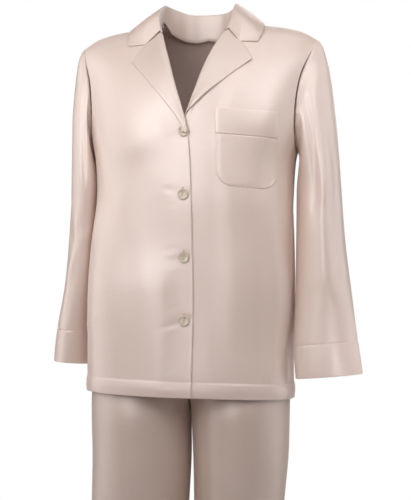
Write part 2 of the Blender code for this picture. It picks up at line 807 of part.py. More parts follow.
# ---------------------------------------------------------------- the pieces
def shirt_body(material):
    vs = np.concatenate([ARMHOLE_SHARES, BELOW_SHARES])
    across = np.linspace(0, 1, 12)
    round_back = np.linspace(0, 1, 25)
    right = front_surface(-1, RIGHT_EDGE)
    left = front_surface(1, LEFT_EDGE)

    def under(u, v):
        """The left front lies under the right one, so its buttoned edge is set in by a wall."""
        beneath = (1 - ease((u - 0.16) / 0.14)) * ease((v - 0.3) / 0.3)
        return left(u, v, -beneath * (WALL + UNDER_GAP))

    front_seams = ("u1", "v0")
    panel("shirt_front_right", right, across, vs, WALL, material, front_seams)
    panel("shirt_front_left", under, across, vs, WALL, material, front_seams, -1.0)
    panel("shirt_back", back_surface, round_back, vs, WALL, material, ("u0", "u1", "v0"))


def sleeves(material):
    for side, word in ((-1, "right"), (1, "left")):
        surface, count = sleeve_surface(side, ARMHOLE_SHARES)
        vs = np.concatenate([CAP_SHARES, 1 + np.linspace(0, 1, 8)[1:]])
        column, v = np.meshgrid(np.arange(count), vs, indexing="ij")
        outer = surface(column, v)
        normals = grid_normals(outer, True) * side
        ends = ("v0", "v1")
        wall(f"sleeve_{word}", outer, normals, WALL, material, True, ends, SLEEVE_GAP)
        round_cuff = np.arange(0, 360, 20.0)
        angle, v = np.meshgrid(round_cuff, np.array([0, 0.5, 1.0]), indexing="ij")
        outer = cuff_surface(side, angle, v)
        normals = grid_normals(outer, True) * side
        wall(f"cuff_{word}", outer, normals, WALL, material, True, ("v0",))


def lapels(material):
    across = np.array([0, 0.12, 0.35, 0.65, 1.0])
    down = np.array([0, 0.11, 0.22, 0.34, 0.45, 0.58, 0.72, 0.86, 1.0])
    right = lapel_surface(RIGHT_EDGE, RIGHT_LAPEL)
    left = lapel_surface(LEFT_EDGE, LEFT_LAPEL)
    panel("lapel_right", right, across, down, LAPEL_WALL, material)
    panel("lapel_left", left, across, down, LAPEL_WALL, material, outward=-1.0)


def collar(material):
    along = np.concatenate([-np.linspace(1, 0, 13), np.linspace(0, 1, 13)[1:]])
    across = np.array([0, 0.45, 0.85, 1.0, 1.1, 1.45, 2.0, 2.5, 3.0])
    a, b = np.meshgrid(along, across, indexing="ij")
    outer = collar_point(a, b)
    wall("collar", outer, grid_normals(outer, False), COLLAR_WALL, material)


def pocket(material):
    across = np.linspace(0, 1, 8)
    down = np.array([0, 0.3, 0.6, 0.72, 0.84, 0.93, 1.0])
    panel("pocket", pocket_surface, across, down, POCKET_WALL, material, outward=-1.0)
    band_down = np.array([0, 0.5, 1.0])
    band_wall = POCKET_WALL * 1.5
    panel("pocket_band", pocket_band_surface, across, band_down, band_wall, material, outward=-1.0)


def turned_rings(centre, side, rise, out, profile, sides):
    """A closed solid turned about `out`: profile rows are (radius, height along out)."""
    build = bmesh.new()
    rings = []
    for radius, height in profile:
        ring = []
        for step in range(sides):
            turn = 2 * math.pi * step / sides
            place = centre + (side * math.cos(turn) + rise * math.sin(turn)) * radius + out * height
            ring.append(build.verts.new(place * METRES))
        rings.append(ring)
    for upper, lower in zip(rings, rings[1:]):
        for step in range(sides):
            after = (step + 1) % sides
            build.faces.new((upper[step], upper[after], lower[after], lower[step]))
    build.faces.new(rings[0])
    build.faces.new(rings[-1])
    bmesh.ops.recalc_face_normals(build, faces=build.faces)
    return build


def buttons(material):
    """Round buttons with a raised rim and two thread holes, set on the front's surface."""
    profile = [
        (radius * BUTTON_RADIUS, height * BUTTON_THICKNESS + BUTTON_LIFT)
        for radius, height in zip(BUTTON_PROFILE["radius"], BUTTON_PROFILE["height"])
    ]
    hole_profile = [(HOLE_RADIUS, 2 * BUTTON_THICKNESS), (HOLE_RADIUS, -BUTTON_THICKNESS)]
    for index in range(BUTTON_COUNT):
        down = BUTTON_FIRST_DOWN + index * BUTTON_PITCH
        centre = on_front(0.0, down, 0.0)
        side = unit(on_front(1.0, down, 0.0) - on_front(-1.0, down, 0.0))
        rise = unit(on_front(0.0, down - 1.0, 0.0) - on_front(0.0, down + 1.0, 0.0))
        out = unit(np.cross(side, rise))
        rise = np.cross(out, side)
        build = turned_rings(centre, side, rise, out, profile, BUTTON_SIDES)
        button = add_object(f"button_{index + 1}", build, material)
        for sign in (-1, 1):
            place = centre + rise * sign * HOLE_SPREAD
            build = turned_rings(place, side, rise, out, hole_profile, HOLE_SIDES)
            cutter = add_object(f"thread_hole_{index + 1}_{sign + 2}", build, material)
            cutter.hide_render = True
            cutter.display_type = "WIRE"
            hole = button.modifiers.new(cutter.name, "BOOLEAN")
            hole.operation = "DIFFERENCE"
            hole.solver = "EXACT"
            hole.object = cutter


def trousers(material):
    downs = np.concatenate([
        np.linspace(WAISTBAND_BOTTOM, SPLIT_DOWN, 5),
        np.linspace(SPLIT_DOWN, CROTCH_DOWN, 7)[1:],
        np.linspace(CROTCH_DOWN, TROUSER_HEM_DOWN, 10)[1:],
    ])
    us = np.linspace(0, 1, 15)
    for side, word in ((-1, "right"), (1, "left")):
        for back, name in ((False, "front"), (True, "back")):

            def surface(u, v, side=side, back=back):
                return trouser_point(side, u, v, back)

            u, v = np.meshgrid(us, downs, indexing="ij")
            turn = side * (1.0 if back else -1.0)
            normals = normals_of(surface, u, v, step_v=0.5) * turn
            seams = ("u0", "u1", "v0")
            label = f"trouser_{name}_{word}"
            wall(label, surface(u, v), normals, WALL, material, False, seams)


def waistband(material):
    angle, v = np.meshgrid(np.arange(0, 360, 15.0), np.array([0, 1.0]), indexing="ij")
    outer = waistband_surface(angle, v)
    wall("waistband", outer, -grid_normals(outer, True), WALL, material, True, ("v1",))


def main():
    for obj in list(bpy.data.objects):
        bpy.data.objects.remove(obj)
    satin = satin_material("satin", SATIN, 0.34)
    shade = satin_material("satin_trousers", SATIN_SHADE, 0.38)
    pearl = satin_material("button", PEARL, 0.25)
    shirt_body(satin)
    sleeves(satin)
    lapels(satin)
    collar(satin)
    pocket(satin)
    buttons(pearl)
    trousers(shade)
    waistband(shade)


main()
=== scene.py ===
"""The looks of the satin pyjama set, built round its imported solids.

Each panel is a fine, thin shell on the form of the solid that it replaces, so the tables and form
functions of the solids' source are repeated here. Sizes are in millimetres until a mesh is made.
"""

import json
import math

import bpy
import numpy as np
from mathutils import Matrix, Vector

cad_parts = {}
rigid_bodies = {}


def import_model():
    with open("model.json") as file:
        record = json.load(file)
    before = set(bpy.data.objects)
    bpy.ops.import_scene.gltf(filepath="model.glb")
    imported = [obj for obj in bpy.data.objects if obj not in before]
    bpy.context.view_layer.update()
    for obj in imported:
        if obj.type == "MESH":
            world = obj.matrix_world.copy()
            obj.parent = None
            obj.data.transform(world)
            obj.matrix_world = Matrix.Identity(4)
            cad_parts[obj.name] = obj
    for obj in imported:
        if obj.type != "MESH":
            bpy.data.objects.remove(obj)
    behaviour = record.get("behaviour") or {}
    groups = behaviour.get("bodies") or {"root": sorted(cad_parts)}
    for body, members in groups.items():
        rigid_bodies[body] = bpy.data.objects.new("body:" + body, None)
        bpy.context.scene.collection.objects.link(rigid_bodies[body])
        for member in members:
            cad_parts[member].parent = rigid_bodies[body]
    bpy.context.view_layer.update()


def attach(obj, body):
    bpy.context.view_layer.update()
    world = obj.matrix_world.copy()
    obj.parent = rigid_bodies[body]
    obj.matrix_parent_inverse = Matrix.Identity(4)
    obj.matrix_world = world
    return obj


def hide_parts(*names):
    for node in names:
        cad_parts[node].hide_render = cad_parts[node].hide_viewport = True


for leftover in list(bpy.data.objects):
    bpy.data.objects.remove(leftover)
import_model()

METRES = 0.001
# The wearer's right and left, as signs of x. A grid's four sides are named after its u and v.
SIDES = ((-1, "right"), (1, "left"))
ALL_ROUND = ("u0", "u1", "v0", "v1")

# ---------------------------------------------------------------- sizes of the form
WALL = 2.0
SEAM_GAP = 0.3
UNDER_GAP = 1.2
NECK_X = 68.0
NECK_DROP = 40.0
UNDERARM_DOWN = 245.0
HEM_DOWN = 664.5
HEM_TILT = 6.5
SHOULDER_TILT = 0.016
SHOULDER_SECTION = 100.0
FRONT_ROUNDING, FRONT_ROUNDING_POWER = 190.0, 1.8
BACK_ROUNDING, BACK_ROUNDING_POWER = 130.0, 2.0
FOLD_FADE_IN, FOLD_FADE_OUT = 0.3, 0.25

BUTTON_RADIUS, BUTTON_THICKNESS, BUTTON_LIFT = 9.5, 3.0, 0.6
BUTTON_FIRST_DOWN, BUTTON_PITCH, BUTTON_COUNT = 200.0, 110.0, 4
HOLE_RADIUS, HOLE_SPREAD = 1.1, 2.5

SLEEVE_JOIN_DOWN = 300.0
CAP_LEAVE, CAP_ARRIVE = 0.32, 0.95
CAP_OUT, CAP_OUT_TOP, CAP_FORWARD, CAP_FALL, CAP_FALL_TOP = 0.85, 0.10, 0.30, 0.35, 0.02
CAP_MIDDLE_DOWN = 200.0

COLLAR_SHOULDER = 0.58
COLLAR_GORGE_DOWN = 20.0
COLLAR_EDGE_LIFT, COLLAR_EDGE_REACH = 3.6, 30.0
COLLAR_SEAM_LIFT, COLLAR_SEAM_INSET = 2.2, 1.9
COLLAR_NAPE = 0.2
COLLAR_STRAIGHT_FROM, COLLAR_STRAIGHT_OVER = 0.84, 0.14

LAPEL_LIFT = 2.6
LAPEL_ROLL_LIFT = 4.0

# The pocket on the wearer's left front: its corners across and down.
POCKET_TOP_DOWN, POCKET_BAND_DEPTH, POCKET_DEPTH = 158.0, 46.0, 136.0
POCKET_INNER, POCKET_OUTER, POCKET_CORNER = 56.0, 156.0, 26.0
POCKET_WALL, POCKET_LIFT = 1.0, 1.5
POCKET_TILT, POCKET_LEAN = 0.09, 0.02
POCKET_BAND_OVERHANG = 0.012

HIP_SQUARE = 2.3
LEG_FOLD_SPREAD = 0.2
INTO_LEG_POWER = 1.2
WAISTBAND_TOP, WAISTBAND_BOTTOM = 396.0, 430.0
SPLIT_DOWN, CROTCH_DOWN, TROUSER_HEM_DOWN = 590.0, 711.0, 1470.0

# ---------------------------------------------------------------- sizes of the fine detail
# How thick the cloth is: most of it, lapels, collar, pocket, and the doubled cuffs and waistband.
THIN, LAPEL_THIN, COLLAR_THIN, POCKET_THIN, DOUBLED_THIN = 0.9, 1.0, 1.1, 0.6, 1.6
# A seam: how deep the cloth dips, how far the dip reaches, the gap left, and the allowance inside.
SEAM_DIP, SEAM_ROUND, SEAM_CLEAR, ALLOWANCE = 0.6, 1.9, 0.05, (1.6, 6.0)
PUCKER_REACH = 9.0
EDGE_RADIUS = 1.2
EDGE_BEAD = 2.2
WEAR_REACH = 2.5
# Hems: their depths, and how far the second layer and the puff between its edges stand out.
SHIRT_HEM, TROUSER_HEM, HEM_LAYER, HEM_PUFF = 27.0, 30.0, 0.9, 1.2
STITCH_LENGTH, STITCH_PITCH, STITCH_RADIUS, STITCH_GROOVE = 2.4, 3.2, 0.22, 1.1
CUFF_STITCH, POCKET_STITCH, BAND_STITCH, WAIST_STITCH = 2.2, 4.5, 1.8, 2.4

# Grid rows close together beside a seam and beside a turned edge: distances from it.
SEAM_ROWS = (0.7, 1.5, 2.5, 4.0, 6.5, 10.0, 15.0)
EDGE_ROWS = (0.3, 0.7, 1.2, 2.0, 3.2, 5.0, 8.0)

# Swells fade over this share of their length. They die out beside the row of buttons, whose
# middle is here across, and round at the sides.
SWELL_FADE = 0.36
BUTTON_ROW_X, BUTTON_ROW_CLEAR, BUTTON_ROW_FADE = -18.0, 8.0, 42.0
SWELLS_END_ANGLE, SWELLS_FADE_ANGLE = 100, 40

# Each button holds the cloth in a dip, from which creases run off at these slants.
BUTTON_DIP, DIP_REACH = 0.9, 11.0
PULL_START, PULL_REACH, PULL_WIDTH = 9.0, 34.0, 5.0
PULL_SLANTS = (0.5, -0.3, 0.25, 0.35)
PULL_DEPTHS = (0.5, 0.6, 0.6, 1.3)
# The thread across a button and down its holes, and the edging of the buttonhole.
STRANDS_ACROSS, STRANDS_DOWN = (-0.45, 0.0, 0.45), (-0.35, 0.35)
THREAD_RADIUS, THREAD_DOWN_RADIUS = 0.3, 0.35
BUTTONHOLE, EDGING_PITCH, EDGING_RADIUS, EDGING_ACROSS = 20.0, 0.55, 0.24, (0.25, 1.5)
# The inner edge of the facing, which shows faintly, and where the left front runs beneath the
# right one: shares across and down, each with the share over which it fades.
FACING_EDGE = 38.0
BENEATH_ACROSS, BENEATH_ACROSS_FADE, BENEATH_DOWN, BENEATH_DOWN_FADE = 0.16, 0.14, 0.3, 0.3
# The button's face inside its rim, as a share of its thickness, and its outline as shares of its
# radius and thickness.
DISH = 0.48
FINE_BUTTON = (
    (0.60, 0.00), (0.88, 0.06), (0.97, 0.20), (1.00, 0.42), (1.00, 0.62), (0.985, 0.80),
    (0.95, 0.93), (0.90, 1.00), (0.84, 0.99), (0.79, 0.91), (0.75, 0.78), (0.70, 0.66),
    (0.60, 0.57), (0.45, 0.51), (0.30, 0.48), (0.12, 0.47),
)

# In front the sleeve sinks behind the body's edge along the armhole seam: where round the sleeve,
# in degrees, how deep and how far from the seam.
TUCK_ANGLE, TUCK_SPREAD, TUCK_DEPTH, TUCK_REACH = 115.0, 50.0, 7.0, 30.0

# Lapels: where the lower end begins, how close the cloth settles, how far it is turned under, its
# wave, and where the upper corner is and how far it lifts.
LAPEL_ENDING, LAPEL_SETTLE, LAPEL_UNDER, LAPEL_WAVE = 0.8, 0.7, 2.4, 0.35
LAPEL_CORNER, LAPEL_CORNER_WIDTH, LAPEL_CORNER_LIFT = 0.17, 0.14, 2.6
# How far each lapel's lower end rises over the button, or sinks under the other front.
LAPEL_ENDS = {-1: 4.4, 1: -4.3}

POCKET_SETTLE, POCKET_EDGE_SINK, POCKET_EDGE_REACH, BAND_SINK = 1.0, 0.6, 4.0, 0.4
GATHER, GATHER_REACH = 0.8, 60.0

# The floor, the camera in metres, and the light from below, from the side and from above.
FLOOR_DOWN, FLOOR_RADIUS, FLOOR_SIDES = 1476.0, 1900.0, 96
CAMERA_PLACE, CAMERA_SENSOR, CAMERA_LENS = (0.0099, -3.5, -0.407), 36.0, 140.0
AMBIENT = ((0.045, 0.042, 0.04), (0.065, 0.062, 0.06), (0.10, 0.098, 0.097))
LIGHT_TINT = (1.0, 0.985, 0.98)


def numbers(text):
    """Rows of numbers: one row a line, or several in a line with ";" between them."""
    lines = text.replace(";", "\n").splitlines()
    return np.array([line.split() for line in lines if line.strip()], float)


def table(names, text):
    """A table with named columns; the first column is the place that the others are read at."""
    columns = dict(zip(names.split(), numbers(text).T))
    columns["place"] = columns[names.split()[0]]
    return columns


# The shirt's body, by distance down: half width, depth to the front and to the back, how square
# the section is, how far the wearer turns to their right, and where the middle stands.
BODY = table("down half_width front back square turn middle", """
    -60 244 108 88 2.4 13 0
    0 238 112 95 2.4 13 0
    50 230 114 103 2.4 13 0
    100 213 116 108 2.4 12.8 -1
    155 200 119 111 2.4 12.4 -2
    208 187 122 111 2.4 12 -3
    245 178 124 110 2.4 11.5 -4
    317 180 126 106 2.4 10.2 -7
    389 186 123 103 2.4 8.2 -11
    497 187 121 110 2.4 6.2 -14
    569 185 123 119 2.4 5.6 -16
    640 185 127 125 2.4 6.2 -16
    711 186 128 127 2.4 6 -17
    860 186 128 127 2.4 5.5 -20
    1500 186 128 127 2.4 5 -22
""")

# The line over the shoulders: how far down it runs at each distance from the middle.
RIDGE = table("across down", """
    0 -26; 35 -16; 68 -2; 117 7; 164 15; 190 23; 212 36; 245 60
""")

# The armholes, from the shoulder point (0) to the underarm (1).
ARMHOLE = table("share drop front_angle back_angle", """
    0 0 64.5 64.5
    0.12 22 64 64.8
    0.3 58 62.5 64.5
    0.5 101 63 66
    0.7 148 66.5 69.5
    0.84 180 72 74.5
    0.94 205 80.5 82
    1 216 90 90
""")

# The inner edges of the two fronts: the roll line of each lapel, then the buttoned edge.
EDGES = {
    -1: table("down across", """
        -20 -74; 0 -68; 28 -55.5; 73 -36; 115 -20.5; 165 -3.2; 196 5.5; 250 12; 330 15; 430 16
        700 15
    """),
    1: table("down across", """
        -20 75; 0 66; 28 55.5; 57 42.5; 92 30; 129 18.5; 159 7.5; 171 2.5; 196 -5; 250 -12
        330 -15; 430 -16; 700 -15
    """),
}

# The sleeves as rings, by distance down: middle, half width, half depth, turn and outward tilt.
RIGHT_SLEEVE = table("down x y half_width half_depth yaw tilt", """
    290 -205.5 42 26.5 72 0 0.02
    389 -211.5 55 28 67 0 0.03
    480 -218 61 30 62 -4 0.05
    553 -227 69 33.5 56 -8 0.07
    612 -231.5 75 36 55 -8 0.07
""")
LEFT_SLEEVE = table("down x y half_width half_depth yaw tilt", """
    290 212 -36 39.5 66 0 0.03
    389 214.5 -46 43.5 59 0 0.05
    497 219 -60 51 47 0 0.07
    571 222 -71 56.5 36 0 0.08
    629 227.5 -79 59 29 0 0.08
""")
# Each side's rings, and how far down its cuff's seam and edge are.
SLEEVES = {-1: (RIGHT_SLEEVE, 553.0, 612.0), 1: (LEFT_SLEEVE, 571.0, 629.0)}

# The collar's sections from centre back (0) round to the front end (1), for the wearer's left:
# the fold, the middle of the fall, and the outer edge as its place on the shirt's body. A
# negative drop lies behind the shoulder line.
COLLAR = table("place fold_x fold_y fold_z mid_x mid_y mid_z edge_x edge_drop", """
    0 0 70 23 0 83 1 0 -58
    0.22 34 62 25 46 71 4 56 -29
    0.42 57 39 33 78 42 14 97 -9
    0.58 66 9 36 92 10 18 118 0.5
    0.72 67 -16 29 95 -18 12 123 8
    0.86 66 -36 11 91 -47 -2 122 21
    1 63 -47 -14 85 -61.5 -40 117 34
""")

# Lapels on the fronts: distance down the roll line, then the outer edge's place. Each reaches to
# the break, one over the top button and one underneath.
LAPELS = {
    -1: table("place roll_down edge_across edge_down", """
        0 21 -87.5 41
        0.22 48 -105 71.5
        0.45 90 -72 107
        0.72 140 -31 152.5
        0.92 183 -5 185.5
        1 202 4.4 203
    """),
    1: table("place roll_down edge_across edge_down", """
        0 21 89.5 41
        0.22 46 112 73.5
        0.45 82 78 100
        0.72 124 38 133
        0.92 158 11 161
        1 182 -3 176
    """),
}

# The trousers above the split, then each leg, by distance down.
HIPS = table("down half_width front back", """
    380 127 88 90
    430 130 90 93
    480 146 97 97
    540 164 105 106
    600 175 111 112
    660 179 115 116
    720 181 116 117
""")
LEGS = {
    -1: table("down offset half_width front back", """
        560 88 87.5 112 114
        711 88.5 89.7 106 112
        770 86.5 89.3 102 106
        860 87.5 87.8 97 101
        1050 88 85 92 95
        1470 89 86.5 90 93
    """),
    1: table("down offset half_width front back", """
        560 88 87.5 112 114
        711 90.6 87.8 106 112
        770 92.2 85.7 102 106
        860 90.9 80.8 97 101
        1050 89 78.5 92 95
        1470 90 82 90 93
    """),
}

# Folds as the solids have them, a soft trough (below 0) or ridge (above 0) along a line: distance
# down and angle of its top, then of its bottom, width in degrees and height. Angles are 0 in front
# and 90 at the wearer's left, or round a sleeve 0 outside and 90 in front.
BODY_FOLDS = numbers("""
    250 -100 620 -100 17 -14
    255 100 545 104 20 -6
    300 52 700 58 13 5
    330 72 700 70 7 -4
    320 -50 700 -58 14 4
    170 150 900 159 12 8
    180 -152 900 -164 11 8
    260 128 720 131 9 -5
    240 -130 720 -134 10 -5
""")
SLEEVE_FOLDS = {
    -1: numbers("""
        70 62 330 96 15 -5
        90 20 420 40 16 3
        120 -60 480 -75 16 -4
        300 60 560 50 14 3
    """),
    1: numbers("""
        60 74 380 116 14 -6
        110 40 520 58 14 -4
        100 -55 480 -80 16 -4
        200 84 520 88 12 4
    """),
}
LEG_FOLDS = {
    -1: numbers("""
        690 -30 1800 -10 13 7
        720 -62 1700 -40 12 -7
        760 38 1800 30 15 -6
        860 68 1900 58 13 7
        730 150 1800 168 15 7
        760 -140 1800 -155 15 -6
        820 112 1900 118 13 -5
    """),
    1: numbers("""
        690 -26 1800 -14 13 5
        740 -60 1700 -52 13 -6
        740 34 1800 44 14 -7
        880 6 1900 12 13 6
        900 72 1900 78 13 6
        760 140 1800 152 15 7
        730 -148 1800 -140 15 -6
    """),
}

# Softer and smaller folds than the solids have, in the same terms.
BODY_CREASES = numbers("""
    60 -66 330 -40 5 -1.6
    120 -72 420 -60 4 1.4
    205 -78 560 -84 4 -1.5
    70 66 330 46 5 -1.5
    150 74 420 64 4 1.3
    330 40 690 45 5 -1.6
    360 -28 700 -34 6 -1.4
    470 62 720 66 4 1.6
    480 -70 720 -72 4 1.5
    520 -12 740 -16 5 1.2
    520 14 740 19 6 1.3
    60 118 420 132 5 -1.8
    80 -120 430 -136 5 -1.7
    200 166 720 174 8 -3.4
    240 -162 720 -170 7 -3
    330 146 740 140 7 3
    300 -140 740 -148 7 2.8
    260 108 700 112 6 2.6
    110 124 360 152 9 -2.8
    120 -126 380 -150 9 -2.8
    150 136 420 166 8 2.2
    420 -118 730 -112 8 2.6
    460 178 740 184 7 2.4
""")
SLEEVE_CREASES = {
    -1: numbers("""
        50 92 310 140 11 -4.2
        90 50 330 70 27 1.3
        300 110 560 96 14 1.1
        260 30 520 20 10 -1.2
        80 -96 380 -104 9 -2
        200 -30 560 -22 9 1.6
        330 -120 560 -96 9 -1.6
        290 30 420 84 10 -2.2
        350 104 480 56 10 1.8
        300 -40 440 -96 11 -2.6
        160 -150 360 -120 12 2.4
    """),
    1: numbers("""
        46 94 240 150 15 -3.8
        66 58 330 84 27 1.2
        280 60 590 70 22 0.6
        240 20 560 28 17 -0.8
        80 -96 380 -104 9 -2
        220 -24 580 -18 16 1
        330 -120 580 -96 9 -1.6
        300 92 430 36 20 -1
        360 46 490 100 20 0.9
        310 -96 450 -40 11 -2.6
        160 -150 360 -120 12 2.4
    """),
}
LEG_CREASES = numbers("""
    600 -46 1120 -34 9 -1.5
    740 8 1300 4 10 1.4
    780 62 1300 54 10 1.6
    980 -4 1500 -8 8 -2.6
    900 52 1500 50 8 2.6
    660 128 1240 138 8 -2.8
    900 -164 1500 -170 9 3
    640 -120 1100 -112 8 2.8
    860 106 1480 98 9 2.6
    700 172 1420 168 8 -2.6
    820 -72 1480 -80 9 2.4
""")

# Broad swells of the front, as lines seen from the front: where each starts and ends across and
# down, how far it reaches on its first and second side (above and below, or towards the wearer's
# left and right), and how far it stands out.
FRONT_SWELLS = numbers("""
    -300 308 -20 172 70 36 6.2
    -84 262 -76 480 36 40 -2.6
    -250 502 -10 470 60 96 6.4
    52 300 70 600 54 60 1.4
    141 430 162 560 11 12 1.8
    -176 512 -198 556 6 7 1.8
    84 172 176 206 50 50 2
    150 225 96 330 16 26 -2
    -172 262 -150 420 14 22 -1.6
    6 474 226 462 64 100 5
""")

# Each light: its place, the point it faces and its two sizes, all in metres, its power in watts
# and how far it spreads, in degrees.
LIGHTS = """huge_left -1.3 -1.6 0.7 -0.05 0 -0.25 1.4 1.2 3.6 180
huge_right 1.3 -1.6 0.7 0.05 0 -0.25 1.4 1.2 4 180
big_left -1 -1.2 0.5 -0.1 0 -0.2 0.9 0.9 3.6 180
big_right 0.8 -1.3 0.5 0 0 -0.2 0.9 0.7 2.3 180
big_middle 0 -1 0.7 0 0 -0.2 1.2 0.6 3.6 180
chest_left -1.1 -1.5 0.3 -0.2 0 -0.1 1.6 1.3 1.35 56
chest_right 0.8 -1.8 0.6 0.14 0 -0.12 0.8 0.8 0.46 60
belly -0.7 -2 -0.2 -0.05 0 -0.33 0.9 0.7 0.19 30
top 0 -0.3 1.2 0 0 -0.2 1.6 1 4.2 180
front 0 -3.2 0.5 0 0 -0.4 1.6 1.2 3 180
strip_left -1.6 -0.4 -0.1 0 0 -0.4 0.9 2 5.2 180
strip_right 1.6 -0.4 -0.1 0 0 -0.4 0.9 2 4.7 180
rim_left -1.3 0.3 -0.2 -0.1 0 -0.4 0.8 2 5.6 180
rim_right 1.3 0.3 -0.2 0.1 0 -0.4 0.8 2 5.2 180
cuff_left 0.8 -1.7 -0.75 0.28 0 -0.62 0.2 0.2 0.035 12
back 0.5 2.1 0.7 0 0 -0.4 1.6 1.6 20 180"""

# How each sheet is held, and the piece it rests on.
HELD = """front_right draped trouser_front_right_cloth
front_left draped trouser_front_left_cloth
back draped trouser_back_right_cloth
sleeve_right_cloth hung front_right
sleeve_left_cloth hung front_left
cuff_right_cloth hung sleeve_right_cloth
cuff_left_cloth hung sleeve_left_cloth
lapel_right_cloth folded front_right
lapel_left_cloth folded front_left
collar_cloth folded back
pocket_cloth laid front_left
pocket_band_cloth laid pocket_cloth
trouser_front_right_cloth hung waistband_cloth
trouser_front_left_cloth hung waistband_cloth
trouser_back_right_cloth hung waistband_cloth
trouser_back_left_cloth hung waistband_cloth
waistband_cloth gathered trouser_front_right_cloth"""


# ---------------------------------------------------------------- reading tables
def read(columns, name, at):
    """A smooth curve through a table's rows, carried on straight past both ends."""
    places, values = columns["place"], columns[name]
    slopes = np.gradient(values, places)
    at = np.asarray(at, float)
    row = np.clip(np.searchsorted(places, at) - 1, 0, len(places) - 2)
    span = places[row + 1] - places[row]
    share = np.clip((at - places[row]) / span, 0, 1)
    inner = (
        values[row]
        + share * share * (3 - 2 * share) * (values[row + 1] - values[row])
        + span * share * (1 - share) * ((1 - share) * slopes[row] - share * slopes[row + 1])
    )
    before = np.minimum(at - places[0], 0) * slopes[0]
    return inner + before + np.maximum(at - places[-1], 0) * slopes[-1]


def ease(share):
    share = np.clip(share, 0, 1)
    return share * share * (3 - 2 * share)


def bell(value, width):
    return np.exp(-((value / width) ** 2))


def mix(first, last, share):
    return first + (last - first) * share


def power(base, exponent):
    return np.sign(base) * np.abs(base) ** exponent


def waves(degrees):
    return np.sin(np.radians(degrees)), np.cos(np.radians(degrees))


def stacked(x, y, z):
    return np.stack(np.broadcast_arrays(x, y, z), axis=-1)


def grid(us, vs):
    return np.meshgrid(us, vs, indexing="ij")


def unit(vectors):
    return vectors / np.maximum(np.linalg.norm(vectors, axis=-1, keepdims=True), 1e-12)


def walk(line):
    """How far along a line each of its points is."""
    return np.concatenate([[0.0], np.cumsum(np.linalg.norm(np.diff(line, axis=0), axis=1))])


def fold_height(folds, angle, down):
    """The sum of the folds: each fades in and out along its line and is a soft bell across it."""
    total = np.zeros(np.broadcast(angle, down).shape)
    for top, top_angle, bottom, bottom_angle, width, height in folds:
        share = (down - top) / (bottom - top)
        across = (angle - mix(top_angle, bottom_angle, share) + 180) % 360 - 180
        fade = ease(share / FOLD_FADE_IN) * ease((1 - share) / FOLD_FADE_OUT)
        total = total + height * fade * bell(across, width)
    return total


# ---------------------------------------------------------------- the shirt's body
def ridge(across):
    return read(RIDGE, "down", np.abs(across))


def rounding(drop, reach, exponent):
    share = np.clip(np.abs(drop) / reach, 0, 1)
    return (1 - (1 - share) ** exponent) ** (1 / exponent)


def posed(x, y, z, down):
    """From the straight body to the worn pose: turned, shifted and tipped at the shoulders."""
    sine, cosine = waves(read(BODY, "turn", down))
    tip = SHOULDER_TILT * x * (1 - ease(down / UNDERARM_DOWN))
    turned_x = x * cosine + y * sine + read(BODY, "middle", down)
    return stacked(turned_x, y * cosine - x * sine, z + tip)


def across_of(angle, down):
    exponent = 2 / read(BODY, "square", down)
    return read(BODY, "half_width", down) * power(np.sin(np.radians(angle)), exponent)


def angle_of(across, down):
    share = np.clip(across / read(BODY, "half_width", down), -1, 1)
    return np.degrees(np.arcsin(power(share, read(BODY, "square", down) / 2)))


def body_point(angle, down, out, drop):
    """A point of the shirt's body. A negative drop is a point just over the ridge, beyond it."""
    square = read(BODY, "square", down)
    half_width = read(BODY, "half_width", down)
    sine, cosine = waves(angle)
    x = half_width * power(sine, 2 / square)
    ahead = (cosine >= 0) == (drop >= 0)
    depth = np.where(ahead, read(BODY, "front", down), read(BODY, "back", down))
    round_front = rounding(drop, FRONT_ROUNDING, FRONT_ROUNDING_POWER)
    round_back = rounding(drop, BACK_ROUNDING, BACK_ROUNDING_POWER)
    factor = np.where(ahead, round_front, round_back) * np.sign(drop + 1e-9)
    y = -depth * power(cosine, 2 / square) * factor
    normal_x = power(sine, 2 - 2 / square) / half_width
    normal_y = -power(cosine, 2 - 2 / square) / depth
    length = np.hypot(normal_x, normal_y)
    push = fold_height(BODY_FOLDS, angle, down) + out
    return posed(x + push * normal_x / length, y + push * normal_y / length, -down, down)


def drop_of(angle, down):
    """How far a point is below the shoulder line."""
    return down - ridge(across_of(angle, down))


def down_at_drop(angle, drop):
    """The distance down of a point that lies this far below the shoulder line."""
    down = np.abs(drop) + ridge(SHOULDER_SECTION)
    for _ in range(6):
        down = np.abs(drop) + ridge(across_of(angle, down))
    return down


def hem_down(angle):
    return HEM_DOWN + HEM_TILT * np.sin(np.radians(angle))


def front_surface(side, u, v, out=0.0):
    """The front on one side, from its inner edge (u = 0) to the armhole and side seam (u = 1).

    v is 0 to 1 beside the armhole and 1 to 2 from there down to the hem, as in the back.
    """
    edge = EDGES[side]
    above, below = np.minimum(v, 1.0), np.clip(v - 1, 0, None)
    down = mix(ridge(NECK_X), UNDERARM_DOWN, above)
    across = read(edge, "across", down)
    above_neck = ridge(NECK_X) - ridge(read(edge, "across", ridge(NECK_X)))
    inner_drop = down - ridge(across) - above_neck
    angle = mix(angle_of(across, down), side * read(ARMHOLE, "front_angle", above), u)
    drop = mix(inner_drop, read(ARMHOLE, "drop", above), u)
    edge_down = mix(UNDERARM_DOWN, HEM_DOWN, below)
    low_angle = mix(angle_of(read(edge, "across", edge_down), edge_down), side * 90.0, u)
    down = down_at_drop(angle, drop)
    down = np.where(v > 1, mix(down, hem_down(low_angle), below), down)
    angle = np.where(v > 1, low_angle, angle)
    return body_point(angle, down, out, np.where(v > 1, drop_of(angle, down), drop))


